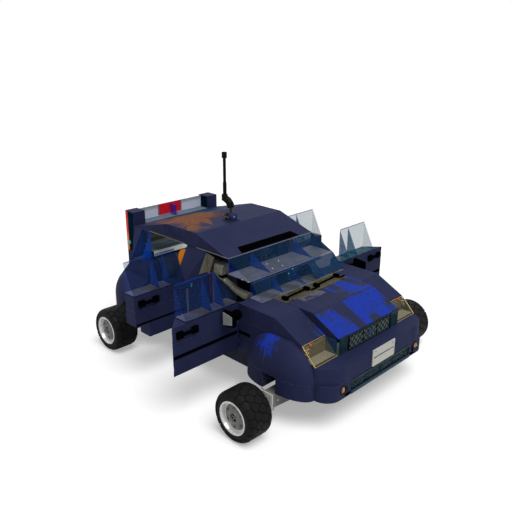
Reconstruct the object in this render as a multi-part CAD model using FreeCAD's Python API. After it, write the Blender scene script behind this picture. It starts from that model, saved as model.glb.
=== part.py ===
"""A block-built patrol car, standing with its four doors open.

The body is a set of straight wedges and slabs on a square pitch. Four thick doors hang
on corner hinges, and the wheels stand outside the flares on short arms.
Frame: +X is the car's left, the nose faces -Y, +Z is up, the road is z = 0.
"""
import FreeCAD, Part
import math
import os

V = FreeCAD.Vector
UP = V(0, 0, 1)

# Heights above the body's underside
sill_height = 200.0
bumper_height = 400.0
nose_height = 600.0
belt_height = 800.0

# Heights above the belt, one on the other
lower_glass_height = 200.0
upper_glass_height = 200.0
roof_rise = 200.0

# Lengths from the nose to the tail, one after the other
bumper_depth = 200.0
lamp_run = 200.0
side_slope_run = 400.0
deck_run = 600.0
front_door_length = 1000.0
rear_door_length = 800.0
quarter_length = 600.0
tail_depth = 200.0

# Widths and walls
half_body = 1000.0
wall = 200.0
flare_width = 200.0
half_hood = 600.0
post_width = 200.0
skin = 40.0
floor_thickness = 50.0
roof_thickness = 40.0
glass = 8.0
jack_pad_length = 120.0
jack_pad_width = 60.0
jack_pad_height = 15.0
jack_inset = 250.0

# Nose and hood
hood_slope_run = 400.0
cowl_depth = 200.0
a_post_depth = 200.0
corner_round = 200.0
top_round = 360.0
intake_half_width = 600.0
intake_depth = 110.0
intake_glass = 12.0
fog_radius = 46.0
fog_length = 60.0
fog_inset = 100.0
grille_depth = 30.0
plate_width = 440.0
plate_height = 200.0
plate_thickness = 12.0
tow_radius = 14.0
tow_length = 80.0

# Glass and roof
lower_glass_run = 200.0
upper_glass_run = 400.0
roof_slope_run = 600.0
roof_flat_run = 600.0
door_taper = 200.0
glass_front_rake = 200.0
glass_bay = 400.0
quarter_glass_run = 200.0

# Doors and hinges
gap = 6.0
hinge_pin = 6.0
hinge_knuckle = 12.0
hinge_lug = 40.0
hinge_cap = 8.0
hinge_reach = 40.0
hinge_inset = 110.0
pin_play = 0.05
end_play = 1.0
door_step = 200.0
rear_step_height = 200.0

# Wheels
front_axle_lead = 24.0
rear_axle_lead = 46.0
tyre_radius = 300.0
tyre_width = 354.0
tyre_shoulder = 60.0
shoulder_flats = 4
rim_radius = 196.0
rim_wall = 12.0
rim_width = 340.0
rim_dish = 90.0
disc_thickness = 18.0
hub_radius = 55.0
hub_length = 60.0
hub_drop = 78.0
front_wheel_out = 623.0
rear_wheel_out = 428.0
spindle_radius = 25.0
kingpin_offset = 269.0
kingpin_radius = 16.0
knuckle_radius = 34.0
knuckle_height = 90.0
knuckle_plate = 200.0
knuckle_plate_thickness = 24.0
arm_width = 140.0
arm_deep = 180.0
arm_root = 210.0
arm_plate = 200.0
arm_plate_thickness = 24.0
arm_plate_out = 40.0
flare_run = 400.0
arch_gap = 200.0

# Cabin
seat_width = 480.0
seat_length = 480.0
seat_cushion = 150.0
seat_height = 150.0
seat_back = 130.0
seat_back_height = 600.0
headrest_width = 230.0
headrest_height = 150.0
seat_offset = 400.0
seat_y = 260.0
bench_width = 1320.0
bench_back_width = 1480.0
bench_back_radius = 200.0
bench_y = 1200.0
dash_depth = 250.0
dash_height = 280.0
firewall = 20.0
wheel_radius = 180.0
wheel_tube = 14.0
column_tilt = 25.0
column_radius = 22.0
engine_width = 620.0
engine_length = 560.0
engine_height = 420.0

# Tail
tail_lamp_thickness = 12.0
bar_base_height = 50.0
bar_height = 190.0
bar_depth = 160.0
tailgate_thickness = 60.0
rear_glass_height = 300.0
rear_glass_margin = 60.0

# Roof antenna
antenna_x = -54.0
antenna_y = 536.0
antenna_base = 175.0
antenna_plate = 14.0
antenna_housing = 125.0
antenna_housing_height = 105.0
antenna_stem = 18.0
antenna_stem_height = 105.0
antenna_elbow = 48.0
antenna_elbow_height = 120.0
antenna_crank = 120.0
antenna_mast = 17.0
antenna_mast_height = 585.0
antenna_head = 32.0
antenna_head_height = 85.0

# Small fittings
handle_length = 296.0
handle_height = 40.0
handle_thickness = 14.0
handle_stand = 36.0
handle_foot = 84.0
handle_foot_height = 78.0
handle_inset = 60.0
handle_drop = 102.0
mirror_width = 190.0
mirror_height = 200.0
mirror_depth = 90.0
mirror_round = 34.0
mirror_stalk = 30.0
mirror_inset = 200.0
mirror_rise = 12.0
mirror_ball = 74.0
mirror_ball_inset = 150.0
mirror_ball_out = 100.0
wiper_length = 480.0
wiper_width = 22.0
wiper_height = 14.0

# Stations along Y, with the body's middle at y = 0
body_length = (bumper_depth + lamp_run + side_slope_run + deck_run + front_door_length
               + rear_door_length + quarter_length + tail_depth)
y_front = -body_length / 2
y_nose = y_front + bumper_depth
y_lamp = y_nose + lamp_run
y_slope = y_lamp + side_slope_run
y_door = y_slope + deck_run
y_b = y_door + front_door_length
y_c = y_b + rear_door_length
y_post = y_c + quarter_length
y_tail = y_post + tail_depth
y_foot = y_door - a_post_depth
y_cowl = y_foot - cowl_depth
y_kink = y_foot + lower_glass_run
y_head = y_kink + upper_glass_run
y_ridge = y_head + roof_slope_run
y_flat = y_ridge + roof_flat_run
y_front_flare = y_nose + flare_run + arch_gap / 2
y_rear_flare = y_tail - flare_run - arch_gap / 2
y_front_axle = y_front_flare - front_axle_lead
y_rear_axle = y_rear_flare - rear_axle_lead

# Stations across, from the middle
half_cabin = half_body - wall
front_track_half = half_body + front_wheel_out
rear_track_half = half_body + rear_wheel_out

# Stations along Z
z_hub = tyre_radius
z_floor = z_hub + hub_drop
z_sill = z_floor + sill_height
z_bumper = z_floor + bumper_height
z_nose = z_floor + nose_height
z_belt = z_floor + belt_height
z_kink = z_belt + lower_glass_height
z_eave = z_kink + upper_glass_height
z_roof = z_eave + roof_rise


def box(x, y, z):
    """A block between two limits on each axis."""
    return Part.makeBox(x[1] - x[0], y[1] - y[0], z[1] - z[0], V(x[0], y[0], z[0]))


def prism_x(points, x):
    """A side profile of (y, z) points, extruded between two x limits."""
    face = Part.Face(Part.makePolygon([V(x[0], *p) for p in points + points[:1]]))
    return face.extrude(V(x[1] - x[0], 0, 0))


def prism_y(points, y):
    """An end profile of (x, z) points, extruded between two y limits."""
    face = Part.Face(Part.makePolygon([V(p[0], y[0], p[1]) for p in points + points[:1]]))
    return face.extrude(V(0, y[1] - y[0], 0))


def prism_z(points, z):
    """A plan profile of (x, y) points, extruded between two z limits."""
    face = Part.Face(Part.makePolygon([V(*p, z[0]) for p in points + points[:1]]))
    return face.extrude(V(0, 0, z[1] - z[0]))


def pyramid(base, tip):
    """A solid from a flat base to a tip."""
    loops = [base] + [[base[i - 1], base[i], tip] for i in range(len(base))]
    faces = [Part.Face(Part.makePolygon(loop + loop[:1])) for loop in loops]
    solid = Part.Solid(Part.Shell(faces))
    return solid if solid.Volume > 0 else solid.reversed()


def rod(start, end, radius):
    """A round bar between two points."""
    return Part.makeCylinder(radius, (end - start).Length, start, end - start)


def join(pieces):
    """One shape of several, with needless edges taken out."""
    whole = pieces[0]
    if len(pieces) > 1:
        whole = pieces[0].multiFuse(pieces[1:])
    return whole.removeSplitter()


def mirrored(shape):
    """The same shape on the other side of the car."""
    return shape.mirror(V(0, 0, 0), V(1, 0, 0))


def pair(shape):
    """A right-hand solid with its left-hand twin."""
    return [shape, mirrored(shape)]


def turned(shape, centre, axis, degrees):
    """A copy turned about an axis."""
    copy = shape.copy()
    copy.rotate(centre, axis, degrees)
    return copy


class Hinge:
    """A pin held by two caps on the fixed side, inside an eye on the moving side.

    inward points from the axis into both pieces, across the panel's thickness, and
    away points along the moving panel, from the axis towards its free edge.
    """

    def __init__(self, centre, inward, away):
        self.centre, self.inward, self.away = centre, inward, away
        self.axis = inward.cross(away)

    def block(self, start, height, near, far):
        """A block from the axis line, between two distances along away."""
        corner = self.centre + self.axis * start + self.away * near
        points = [corner, corner + self.inward * hinge_reach,
                  corner + self.inward * hinge_reach + self.away * (far - near),
                  corner + self.away * (far - near)]
        face = Part.Face(Part.makePolygon(points + points[:1]))
        return face.extrude(self.axis * height)

    def barrel(self, radius, start, height):
        return Part.makeCylinder(radius, height, self.centre + self.axis * start, self.axis)

    def notch(self):
        """The round space that both pieces leave for the hinge."""
        half = hinge_lug / 2 + end_play + hinge_cap + gap
        return self.barrel(hinge_knuckle + gap, -half, 2 * half)

    def fixed(self, room):
        """The pin, its caps and their brackets, which stay inside room."""
        half = hinge_lug / 2 + end_play
        pieces = [self.barrel(hinge_pin, -half, 2 * half)]
        for start in (-half - hinge_cap, half):
            pieces.append(self.barrel(hinge_knuckle, start, hinge_cap))
            bracket = self.block(start, hinge_cap, -hinge_reach, 0.0)
            pieces.append(bracket.common(room) if room else bracket)
        return join(pieces)

    def moving(self):
        eye = join([self.barrel(hinge_knuckle, -hinge_lug / 2, hinge_lug),
                    self.block(-hinge_lug / 2, hinge_lug, gap, hinge_reach)])
        return eye.cut(self.barrel(hinge_pin + pin_play, -hinge_lug, 2 * hinge_lug))

    def hang(self, fixed_shape, moving_shape, room=None):
        """Both pieces with the hinge worked into them."""
        fixed_shape = join([fixed_shape.cut(self.notch()), self.fixed(room)])
        moving_shape = join([moving_shape.cut(self.notch()), self.moving()])
        return fixed_shape, moving_shape


def door_hinges(y):
    """The two hinges of a right-hand door, whose front edge is at y."""
    return [Hinge(V(-half_body, y, z), V(1, 0, 0), V(0, 1, 0))
            for z in (z_sill + hinge_inset, z_belt - hinge_inset)]


def floor_pan():
    """The floor between the bumpers, with a sill under each pair of doors."""
    plate = box((-half_cabin, half_cabin), (y_nose, y_post),
                (z_floor, z_floor + floor_thickness))
    sill_end = y_rear_flare - arch_gap / 2 - flare_run
    sill = box((-half_body, -half_cabin), (y_foot, sill_end), (z_floor, z_sill))
    pads = []
    for y in (y_foot + jack_inset, sill_end - jack_inset):
        pad = Part.makeBox(jack_pad_width, jack_pad_length, jack_pad_height)
        pad.translate(V(-half_body + (wall - jack_pad_width) / 2, y - jack_pad_length / 2,
                        z_floor - jack_pad_height))
        pads += pair(pad)
    return join([plate] + pair(sill) + pads)


def bumper_plan(radius, y_edge, side):
    """A bumper's outline from above, with round corners; side is -1 at the nose."""
    depth = bumper_depth if side < 0 else tail_depth
    y_in = y_edge - side * depth
    bow = math.sqrt(0.5) * radius
    start = V(-half_body, y_in, 0)
    corner = V(-half_body + radius, y_edge, 0)
    reach = min(radius, depth)
    edges = [Part.LineSegment(V(half_body, y_in, 0), start).toShape()]
    first = V(-half_body, y_edge - side * reach, 0)
    if (first - start).Length > 1e-6:
        edges.append(Part.LineSegment(start, first).toShape())
    middle = V(-half_body + radius - bow, y_edge - side * (reach - bow * reach / radius), 0)
    edges.append(Part.Arc(first, middle, corner).toShape())
    edges.append(Part.LineSegment(corner, V(-corner.x, corner.y, 0)).toShape())
    edges.append(Part.Arc(V(-corner.x, corner.y, 0), V(-middle.x, middle.y, 0),
                          V(-first.x, first.y, 0)).toShape())
    if (first - start).Length > 1e-6:
        edges.append(Part.LineSegment(V(-first.x, first.y, 0), V(half_body, y_in, 0)).toShape())
    return Part.Face(Part.Wire(edges))


def bumper(y_edge, side):
    """Two tiers of one bumper, the upper with the wider round."""
    tiers = []
    for radius, z, height in ((corner_round, z_floor, sill_height),
                              (top_round, z_sill, bumper_height - sill_height)):
        tier = bumper_plan(radius, y_edge, side).extrude(V(0, 0, height))
        tier.translate(V(0, 0, z))
        tiers.append(tier)
    socket = Part.makeCylinder(tow_radius, tow_length,
                               V(half_hood / 2, y_edge, z_sill + sill_height / 2),
                               V(0, -side, 0))
    return join(tiers).cut(socket)


def front_bumper():
    """The front bumper, with its air intake and the seats of its fog lamps."""
    shape = bumper(y_front, -1)
    shape = shape.cut(box((-intake_half_width, intake_half_width),
                          (y_front - gap, y_front + intake_depth),
                          (z_floor + skin, z_sill - skin)))
    for seat in fog_lamps():
        shape = shape.cut(seat)
    return shape


def fog_lamps():
    """A round lamp each side of the intake."""
    centre = V(-intake_half_width - fog_inset, y_front, z_floor + sill_height / 2)
    return pair(Part.makeCylinder(fog_radius, fog_length, centre, V(0, 1, 0)))


def intake_pane():
    """Dark glass across the air intake."""
    return box((-intake_half_width, intake_half_width),
               (y_front + glass, y_front + glass + intake_glass),
               (z_floor + skin, z_sill - skin))


def number_plates():
    """Two bare plates, on the front bumper and on the rear one."""
    z = z_sill + (bumper_height - sill_height - plate_height) / 2
    x = (-plate_width / 2, plate_width / 2)
    return [box(x, (y_front - plate_thickness, y_front), (z, z + plate_height)),
            box(x, (y_tail, y_tail + plate_thickness), (z, z + plate_height))]


def grille():
    """The upright panel between the headlamps."""
    return box((-half_hood + gap, half_hood - gap), (y_nose, y_nose + grille_depth),
               (z_bumper, z_nose - gap - skin))


def headlamps():
    """A wedge of clear lens each side of the grille, open at the back."""
    lens = wedge_glass(half_body - half_hood, lamp_run, z_nose - z_bumper, [])
    lens.translate(V(-half_body, y_nose, z_bumper))
    return pair(lens)


def wedge_glass(span, run, rise, webs):
    """A hollow wedge: a sloping pane, a bottom pane, two ends and inner webs.

    It spans local x, rises along local y, and is open on its upright back.
    """
    slope = math.hypot(run, rise)
    outer = prism_x([(0, 0), (run, 0), (run, rise)], (0, span))
    y_in = glass * (run + slope) / rise
    z_back = rise - glass * slope / run
    past = gap
    hollow = [(y_in, glass), (run + past, glass), (run + past, z_back + past * rise / run)]
    edges = [0.0] + list(webs) + [span]
    for index, start in enumerate(edges[:-1]):
        near = start + (glass if index == 0 else glass / 2)
        last = index == len(edges) - 2
        far = edges[index + 1] - (glass if last else glass / 2)
        outer = outer.cut(prism_x(hollow, (near, far)))
    return outer


def side_glass(y, webs):
    """Side glass of the right-hand side between two y limits, leaning in to the roof."""
    shape = wedge_glass(y[1] - y[0], wall, z_eave - z_belt, webs)
    shape.rotate(V(0, 0, 0), UP, -90)
    shape.translate(V(-half_body, y[1], z_belt))
    return shape


def windshield():
    """Two rows of glass wedges, the lower steeper than the upper."""
    bays = [half_cabin - glass_bay, half_cabin + glass_bay]
    lower = wedge_glass(2 * half_cabin, lower_glass_run, z_kink - z_belt, bays)
    lower.translate(V(-half_cabin, y_foot, z_belt))
    upper = wedge_glass(2 * half_cabin, upper_glass_run, z_eave - z_kink, bays)
    upper.translate(V(-half_cabin, y_kink, z_kink))
    seam = prism_x([(y_kink - 2 * glass, z_kink - 2 * glass), (y_kink, z_kink),
                    (y_kink + 2 * glass, z_kink), (y_kink + 2 * glass, z_kink - glass),
                    (y_kink, z_kink - 2 * glass)], (-half_cabin, half_cabin))
    return join([lower, upper, seam])


def hood_profile(drop):
    """The hood's side profile, lowered by drop."""
    return [(y_nose, z_nose - drop), (y_nose + hood_slope_run, z_belt - drop),
            (y_cowl, z_belt - drop)]


def hood():
    """The hood lid, closed, with a flange down each side."""
    top = hood_profile(0.0)
    rear = y_cowl - gap
    top[-1] = (rear, z_belt)
    half = half_hood - gap
    outer = prism_x(top + [(rear, z_nose)], (-half, half))
    slope = math.hypot(hood_slope_run, z_belt - z_nose)
    drop = skin * slope / hood_slope_run
    inner = prism_x([(y_nose, z_nose - drop), (y_nose + hood_slope_run, z_belt - drop),
                     (rear - skin, z_belt - drop), (rear - skin, z_nose - gap),
                     (y_nose, z_nose - gap)], (-half + skin, half - skin))
    return outer.cut(inner)


def cowl():
    """The panel between the hood and the windshield."""
    return box((-half_hood, half_hood), (y_cowl, y_foot), (z_belt - skin, z_belt))


def flare(y_middle):
    """The bulge round a right-hand wheel, open below the hub's line.

    It is made round, of balls and cylinders, and then squeezed to its width and height.
    """
    r = flare_run
    squeeze = (z_nose - z_sill) / r
    skirt = sill_height / squeeze
    pieces = []
    for end in (-1, 1):
        y_mid = end * arch_gap / 2
        y = sorted((y_mid, y_mid + end * r))
        pieces.append(Part.makeSphere(r, V(0, y_mid, 0)).common(box((-r, 0), y, (0, r))))
        leg = Part.makeCylinder(r, skirt, V(0, y_mid, -skirt), UP)
        pieces.append(leg.common(box((-r, 0), y, (-skirt, 0))))
    bridge = Part.makeCylinder(r, arch_gap, V(0, -arch_gap / 2, 0), V(0, 1, 0))
    pieces.append(bridge.common(box((-r, 0), (-arch_gap / 2, arch_gap / 2), (0, r))))
    grow = FreeCAD.Matrix()
    grow.scale(V(flare_width / r, 1, squeeze))
    shape = join(pieces).transformGeometry(grow)
    shape.translate(V(-half_body, y_middle, z_sill))
    return shape


def arch_space(y_middle):
    """The opening in a right-hand side wall and flare, over the wheel's arm."""
    return box((-half_body - flare_width, -half_cabin),
               (y_middle - arch_gap / 2, y_middle + arch_gap / 2), (z_floor - gap, z_sill))


def front_fender():
    """The right-hand nose side: outer wall, top with its slope, and flare."""
    profile = [(y_nose, z_floor), (y_nose, z_bumper), (y_lamp, z_bumper), (y_lamp, z_nose),
               (y_slope, z_belt), (y_door, z_belt), (y_door, z_floor)]
    side = prism_x(profile, (-half_body, -half_cabin))
    top = prism_x([(y_lamp, z_nose), (y_slope, z_belt), (y_foot, z_belt),
                   (y_foot, z_belt - skin), (y_slope, z_belt - skin),
                   (y_lamp, z_nose - skin)], (-half_cabin, -half_hood))
    face = box((-half_cabin, -half_hood), (y_lamp, y_lamp + skin), (z_bumper, z_nose))
    shelf = box((-half_cabin, -half_hood), (y_nose, y_lamp + skin),
                (z_bumper - skin, z_bumper))
    shape = join([side, top, face, shelf, flare(y_front_flare)])
    sill_end = box((-half_body, -half_cabin), (y_foot, y_door), (z_floor, z_sill))
    return shape.cut(arch_space(y_front_flare)).cut(sill_end)


def quarters():
    """Both rear quarter panels, with flare and corner pillar, clear of the doors' swing."""
    y_glass = y_c + 2 * quarter_glass_run
    fall = (z_belt - z_bumper) / (y_tail - y_glass)
    z_post = z_belt - fall * (y_post - y_glass)
    side = prism_x([(y_c, z_floor), (y_c, z_belt), (y_glass, z_belt), (y_tail, z_bumper),
                    (y_post, z_bumper), (y_post, z_floor)], (-half_body, -half_cabin))
    step = box((-half_body, -half_cabin), (y_c - door_step, y_c),
               (z_floor, z_sill + rear_step_height))
    inner = box((-half_cabin, -half_cabin + skin), (y_glass, y_post), (z_bumper, z_eave))
    corner = pyramid([V(-half_cabin, y_glass, z_belt), V(-half_cabin, y_post, z_post),
                      V(-half_cabin, y_post, z_eave), V(-half_cabin, y_glass, z_eave)],
                     V(-half_body, y_glass, z_belt))
    shape = join([side, step, inner, corner, flare(y_rear_flare)])
    shape = shape.cut(arch_space(y_rear_flare))
    for length, z in ((rear_door_length, z_sill + rear_step_height - gap),
                      (rear_door_length - door_step, z_sill)):
        reach = math.hypot(length, wall) + gap
        shape = shape.cut(Part.makeCylinder(reach, z_eave - z, V(-half_body, y_b, z), UP))
    return pair(shape)


def side_windows():
    """The fixed glass behind each rear door's opening."""
    y_glass = y_c + 2 * quarter_glass_run
    return pair(side_glass((y_glass - quarter_glass_run, y_glass), []))


def roof():
    """The roof skin, sloping down to the windshield and to the tail."""
    outer = prism_x([(y_head, z_eave), (y_ridge, z_roof), (y_flat, z_roof),
                     (y_post, z_eave)], (-half_cabin, half_cabin))
    drop = roof_thickness * math.hypot(roof_slope_run, z_roof - z_eave) / roof_slope_run
    rear_run = y_post - y_flat
    rear_drop = roof_thickness * math.hypot(rear_run, z_roof - z_eave) / rear_run
    front_rate = (z_roof - z_eave) / roof_slope_run
    rear_rate = (z_roof - z_eave) / rear_run
    inner = prism_x([(y_head + drop / front_rate, z_eave - gap),
                     (y_head + drop / front_rate, z_eave),
                     (y_ridge, z_roof - drop), (y_flat, z_roof - rear_drop),
                     (y_post - rear_drop / rear_rate, z_eave),
                     (y_post - rear_drop / rear_rate, z_eave - gap)],
                    (-half_cabin + skin, half_cabin - skin))
    return outer.cut(inner)


def pane_across():
    """The side panes' thickness, measured level."""
    return glass * math.hypot(wall, z_eave - z_belt) / (z_eave - z_belt)


def b_pillar():
    """The right-hand post between the doors, its upper panel under the rear door's pane."""
    lean = pane_across() + gap
    foot, head = -half_body + lean, -half_cabin + lean
    panel = prism_y([(foot, z_belt), (foot + skin, z_belt), (head + skin, z_eave),
                     (head, z_eave)], (y_b, y_b + door_taper))
    y_in = y_b - door_taper
    upper = pyramid([V(-half_cabin, y_in, z_belt), V(-half_cabin, y_b, z_belt),
                     V(-half_cabin, y_b, z_eave), V(-half_cabin, y_in, z_eave)],
                    V(-half_body, y_b, z_belt))
    inner = box((-half_cabin, -half_cabin + skin), (y_in, y_b), (z_sill, z_eave))
    return join([panel, pillar_wedge(2 * gap), upper, inner])


def pillar_wedge(clear):
    """The post below the belt, in the corner that the front door's taper leaves."""
    return prism_z([(-half_cabin, y_b - door_taper + clear), (-half_cabin, y_b),
                    (-half_body + clear - gap, y_b)], (z_sill, z_belt))


def b_pillars():
    return pair(b_pillar())


def front_door():
    """The right front door, closed, thinning at its free edge."""
    inside = -half_body + wall
    plan = [(-half_body, y_door + gap), (inside, y_door + gap),
            (inside, y_b - door_taper - gap), (-half_body, y_b - gap)]
    panel = prism_z(plan, (z_sill + gap, z_belt))
    for hinge in door_hinges(y_b):
        panel = panel.cut(hinge.notch())
    return panel


def rear_door():
    """The right rear door, closed, stepped up at its free edge over the flare."""
    upper = box((-half_body, -half_cabin), (y_b + gap, y_c - gap),
                (z_sill + rear_step_height, z_belt))
    lower = box((-half_body, -half_cabin), (y_b + gap, y_c - door_step - gap),
                (z_sill + gap, z_sill + rear_step_height))
    return join([upper, lower])


def front_door_glass():
    """Glass of the right front door, raked at its front end."""
    y = (y_door, y_b - door_taper - gap)
    shape = side_glass(y, [glass_bay, y[1] - y[0] - glass_front_rake])
    rake = [(y[0] - wall, z_belt), (y[0] + gap, z_belt),
            (y[0] + gap + glass_front_rake, z_eave), (y[0] - wall, z_eave)]
    return shape.cut(prism_x(rake, (-half_body - gap, -half_cabin + gap)))


def rear_door_glass():
    """Glass of the right rear door; its first bay is a bare pane over the pillar."""
    y_pillar = y_b + door_taper
    main = side_glass((y_pillar + gap, y_c - gap), [glass_bay])
    across = pane_across()
    drop = across * (z_eave - z_belt) / wall
    pane = prism_y([(-half_body, z_belt), (-half_body + across, z_belt),
                    (-half_cabin, z_eave - drop), (-half_cabin, z_eave)],
                   (y_b + gap, y_pillar + gap))
    return join([main, pane])


def mirror():
    """The right door mirror, closed: a casing and a ball housing on a stalk."""
    x = -half_body - mirror_stalk
    top = z_belt + mirror_rise
    y = y_door + mirror_inset
    casing = box((x - mirror_width, x), (y, y + mirror_depth), (top - mirror_height, top))
    casing = casing.makeFillet(mirror_round, [edge for edge in casing.Edges
                                              if abs(edge.tangentAt(0).y) > 0.5])
    middle = V(-half_body - mirror_ball_out, y_door + mirror_ball_inset, top - mirror_height / 2)
    stalk = rod(middle, V(-half_body, middle.y, middle.z), mirror_ball / 2)
    return join([casing, Part.makeSphere(mirror_ball, middle), stalk])


def door_handle(y_free):
    """A right-hand door's pull on two feet, near its free edge, closed."""
    y = y_free - handle_inset - handle_length
    z = z_belt - handle_drop
    pieces = [box((-half_body - handle_stand, -half_body - handle_stand + handle_thickness),
                  (y, y + handle_length), (z - handle_height / 2, z + handle_height / 2))]
    for start in (y, y + handle_length - handle_foot):
        pieces.append(box((-half_body - handle_stand, -half_body), (start, start + handle_foot),
                          (z - handle_foot_height / 2, z + handle_foot_height / 2)))
    return join(pieces)


def tail_posts():
    """The two upright posts at the tail that carry the light bar."""
    post = box((-half_cabin, -half_cabin + post_width), (y_post, y_tail), (z_bumper, z_roof))
    return pair(post)


def tail_lamps():
    """A lamp strip on the back of each tail post."""
    return pair(box((-half_cabin + glass, -half_cabin + post_width - glass),
                    (y_tail, y_tail + tail_lamp_thickness), (z_belt, z_roof - glass)))


def light_bar_base():
    """The rail between the tail posts that carries the light bar and the tailgate."""
    half = half_cabin - post_width
    return box((-half, half), (y_post, y_tail), (z_eave, z_eave + bar_base_height))


def light_bar_lens():
    """The bar of coloured lenses on its rail."""
    half = half_cabin - post_width
    y = y_post + (tail_depth - bar_depth) / 2
    return box((-half + glass, half - glass), (y, y + bar_depth),
               (z_eave + bar_base_height, z_eave + bar_height))


def tailgate():
    """The upright tailgate, closed, with an opening for its glass."""
    half = half_cabin - post_width - gap
    panel = box((-half, half), (y_tail - tailgate_thickness, y_tail),
                (z_bumper + gap, z_eave - gap))
    return panel.cut(rear_glass_space(0.0))


def rear_glass_space(inset):
    """The space of the tailgate's glass, smaller all round by an inset."""
    half = half_cabin - post_width - gap - rear_glass_margin - inset
    top = z_eave - gap - rear_glass_margin - inset
    return box((-half, half), (y_tail - tailgate_thickness - gap, y_tail + gap),
               (top + 2 * inset - rear_glass_height, top))


def rear_window():
    """The glass in the tailgate."""
    space = rear_glass_space(0.0)
    middle = y_tail - tailgate_thickness / 2
    return space.common(box((-half_body, half_body), (middle - glass / 2, middle + glass / 2),
                            (z_belt - belt_height, z_eave)))


def dashboard():
    """Firewall and dashboard, with the steering column."""
    wall_plate = box((-half_cabin, half_cabin), (y_foot, y_foot + firewall),
                     (z_floor + floor_thickness, z_belt - skin))
    top = box((-half_cabin, half_cabin), (y_foot, y_foot + dash_depth),
              (z_belt - dash_height, z_belt - gap))
    return join([wall_plate, top, rod(column_foot(), column_head(), column_radius)])


def column_foot():
    """The column's start on the dashboard's back."""
    return V(seat_offset, y_foot + dash_depth / 2, z_belt - dash_height / 2)


def column_axis():
    """The steering column's direction, towards the driver and up."""
    tilt = math.radians(column_tilt)
    return V(0, math.cos(tilt), math.sin(tilt))


def column_head():
    return column_foot() + column_axis() * (dash_depth - gap)


def steering_wheel():
    """Rim, hub and three spokes, turning on the column's end."""
    hub_start = column_head() + column_axis() * end_play / 3
    centre = hub_start + column_axis() * wheel_tube
    ring = Part.makeTorus(wheel_radius, wheel_tube, centre, column_axis())
    hub = Part.makeCylinder(2 * column_radius, 2 * wheel_tube, hub_start, column_axis())
    pieces = [ring, hub]
    for turn in range(3):
        end = centre + V(0, 0, -1).cross(column_axis()).normalize() * wheel_radius
        spoke = rod(centre, end, wheel_tube * 0.7)
        pieces.append(turned(spoke, centre, column_axis(), -90 + 120 * turn))
    return join(pieces)


def front_seats():
    """Two plain seats: cushion, back and headrest."""
    z = z_floor + floor_thickness
    top = z + seat_height + seat_back_height
    back = (-seat_offset - seat_width / 2, -seat_offset + seat_width / 2)
    rest = (-seat_offset - headrest_width / 2, -seat_offset + headrest_width / 2)
    return pair(join([
        box(back, (seat_y - seat_length, seat_y), (z, z + seat_height + seat_cushion)),
        box(back, (seat_y, seat_y + seat_back), (z, top)),
        box(rest, (seat_y + seat_back / 5, seat_y + seat_back), (top, top + headrest_height))]))


def rear_bench():
    """The rear bench: a cushion, and a half-round back on a plain base."""
    z = z_floor + floor_thickness
    cushion = box((-bench_width / 2, bench_width / 2), (bench_y - seat_length, bench_y),
                  (z, z + seat_height + seat_cushion))
    y = bench_y + bench_back_radius
    middle = z_belt - bench_back_radius
    half = bench_back_width / 2
    base = box((-bench_width / 2, bench_width / 2), (bench_y, y), (z, middle))
    drum = Part.makeCylinder(bench_back_radius, bench_back_width, V(-half, y, middle), V(1, 0, 0))
    front_half = box((-half, half), (bench_y, y), (middle - bench_back_radius, z_belt))
    return join([cushion, base, drum.common(front_half)])


def engine():
    """The closed mass under the hood, as one block on two bearers."""
    y = y_front_axle - engine_length / 2
    z = z_floor + floor_thickness
    return box((-engine_width / 2, engine_width / 2), (y, y + engine_length),
               (z, z + engine_height))


def arm(x_end, y_axle):
    """A tapering right-hand arm from under the floor out to x_end."""
    half = arm_width / 2
    points = [(-half_cabin / 2, z_floor), (-half_cabin / 2, z_floor - arm_root),
              (-half_cabin, z_floor - arm_root), (x_end, z_hub - arm_deep / 2),
              (x_end, z_floor - gap), (-half_body, z_floor - gap),
              (-half_cabin, z_floor)]
    return prism_y(points, (y_axle - half, y_axle + half))


def hub_end():
    """How far a spindle's end lies outside the wheel's middle."""
    return rim_width / 2 - rim_dish - disc_thickness - gap


def kingpin_x():
    return -front_track_half + kingpin_offset


def arm_end_plate(y_axle):
    """The square plate round a right-hand arm, just outside the flare."""
    x = -half_body - flare_width - arm_plate_out
    half = arm_plate / 2
    return box((x - arm_plate_thickness, x), (y_axle - half, y_axle + half),
               (z_hub - half, z_hub + half))


def front_arm():
    """The steered wheel's arm, forked round the knuckle's barrel."""
    x = kingpin_x()
    shape = join([arm(x, y_front_axle), arm_end_plate(y_front_axle)])
    eye = Part.makeCylinder(arm_width / 2, arm_deep, V(x, y_front_axle, z_hub - arm_deep / 2), UP)
    shape = join([shape, eye])
    half = knuckle_height / 2 + end_play
    room = Part.makeCylinder(knuckle_radius * 2 + gap, 2 * half, V(x, y_front_axle, z_hub - half), UP)
    pin = Part.makeCylinder(kingpin_radius, 2 * half, V(x, y_front_axle, z_hub - half), UP)
    return join([shape.cut(room), pin])


def rear_arm():
    """The fixed wheel's arm, with its spindle."""
    x = -rear_track_half + tyre_width / 2 + gap
    shape = arm(x, y_rear_axle)
    spindle = rod(V(x + arm_width, y_rear_axle, z_hub),
                  V(-rear_track_half - hub_end(), y_rear_axle, z_hub), spindle_radius)
    return join([shape, spindle])


def wheel_arms():
    return pair(front_arm()) + pair(rear_arm())


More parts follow.
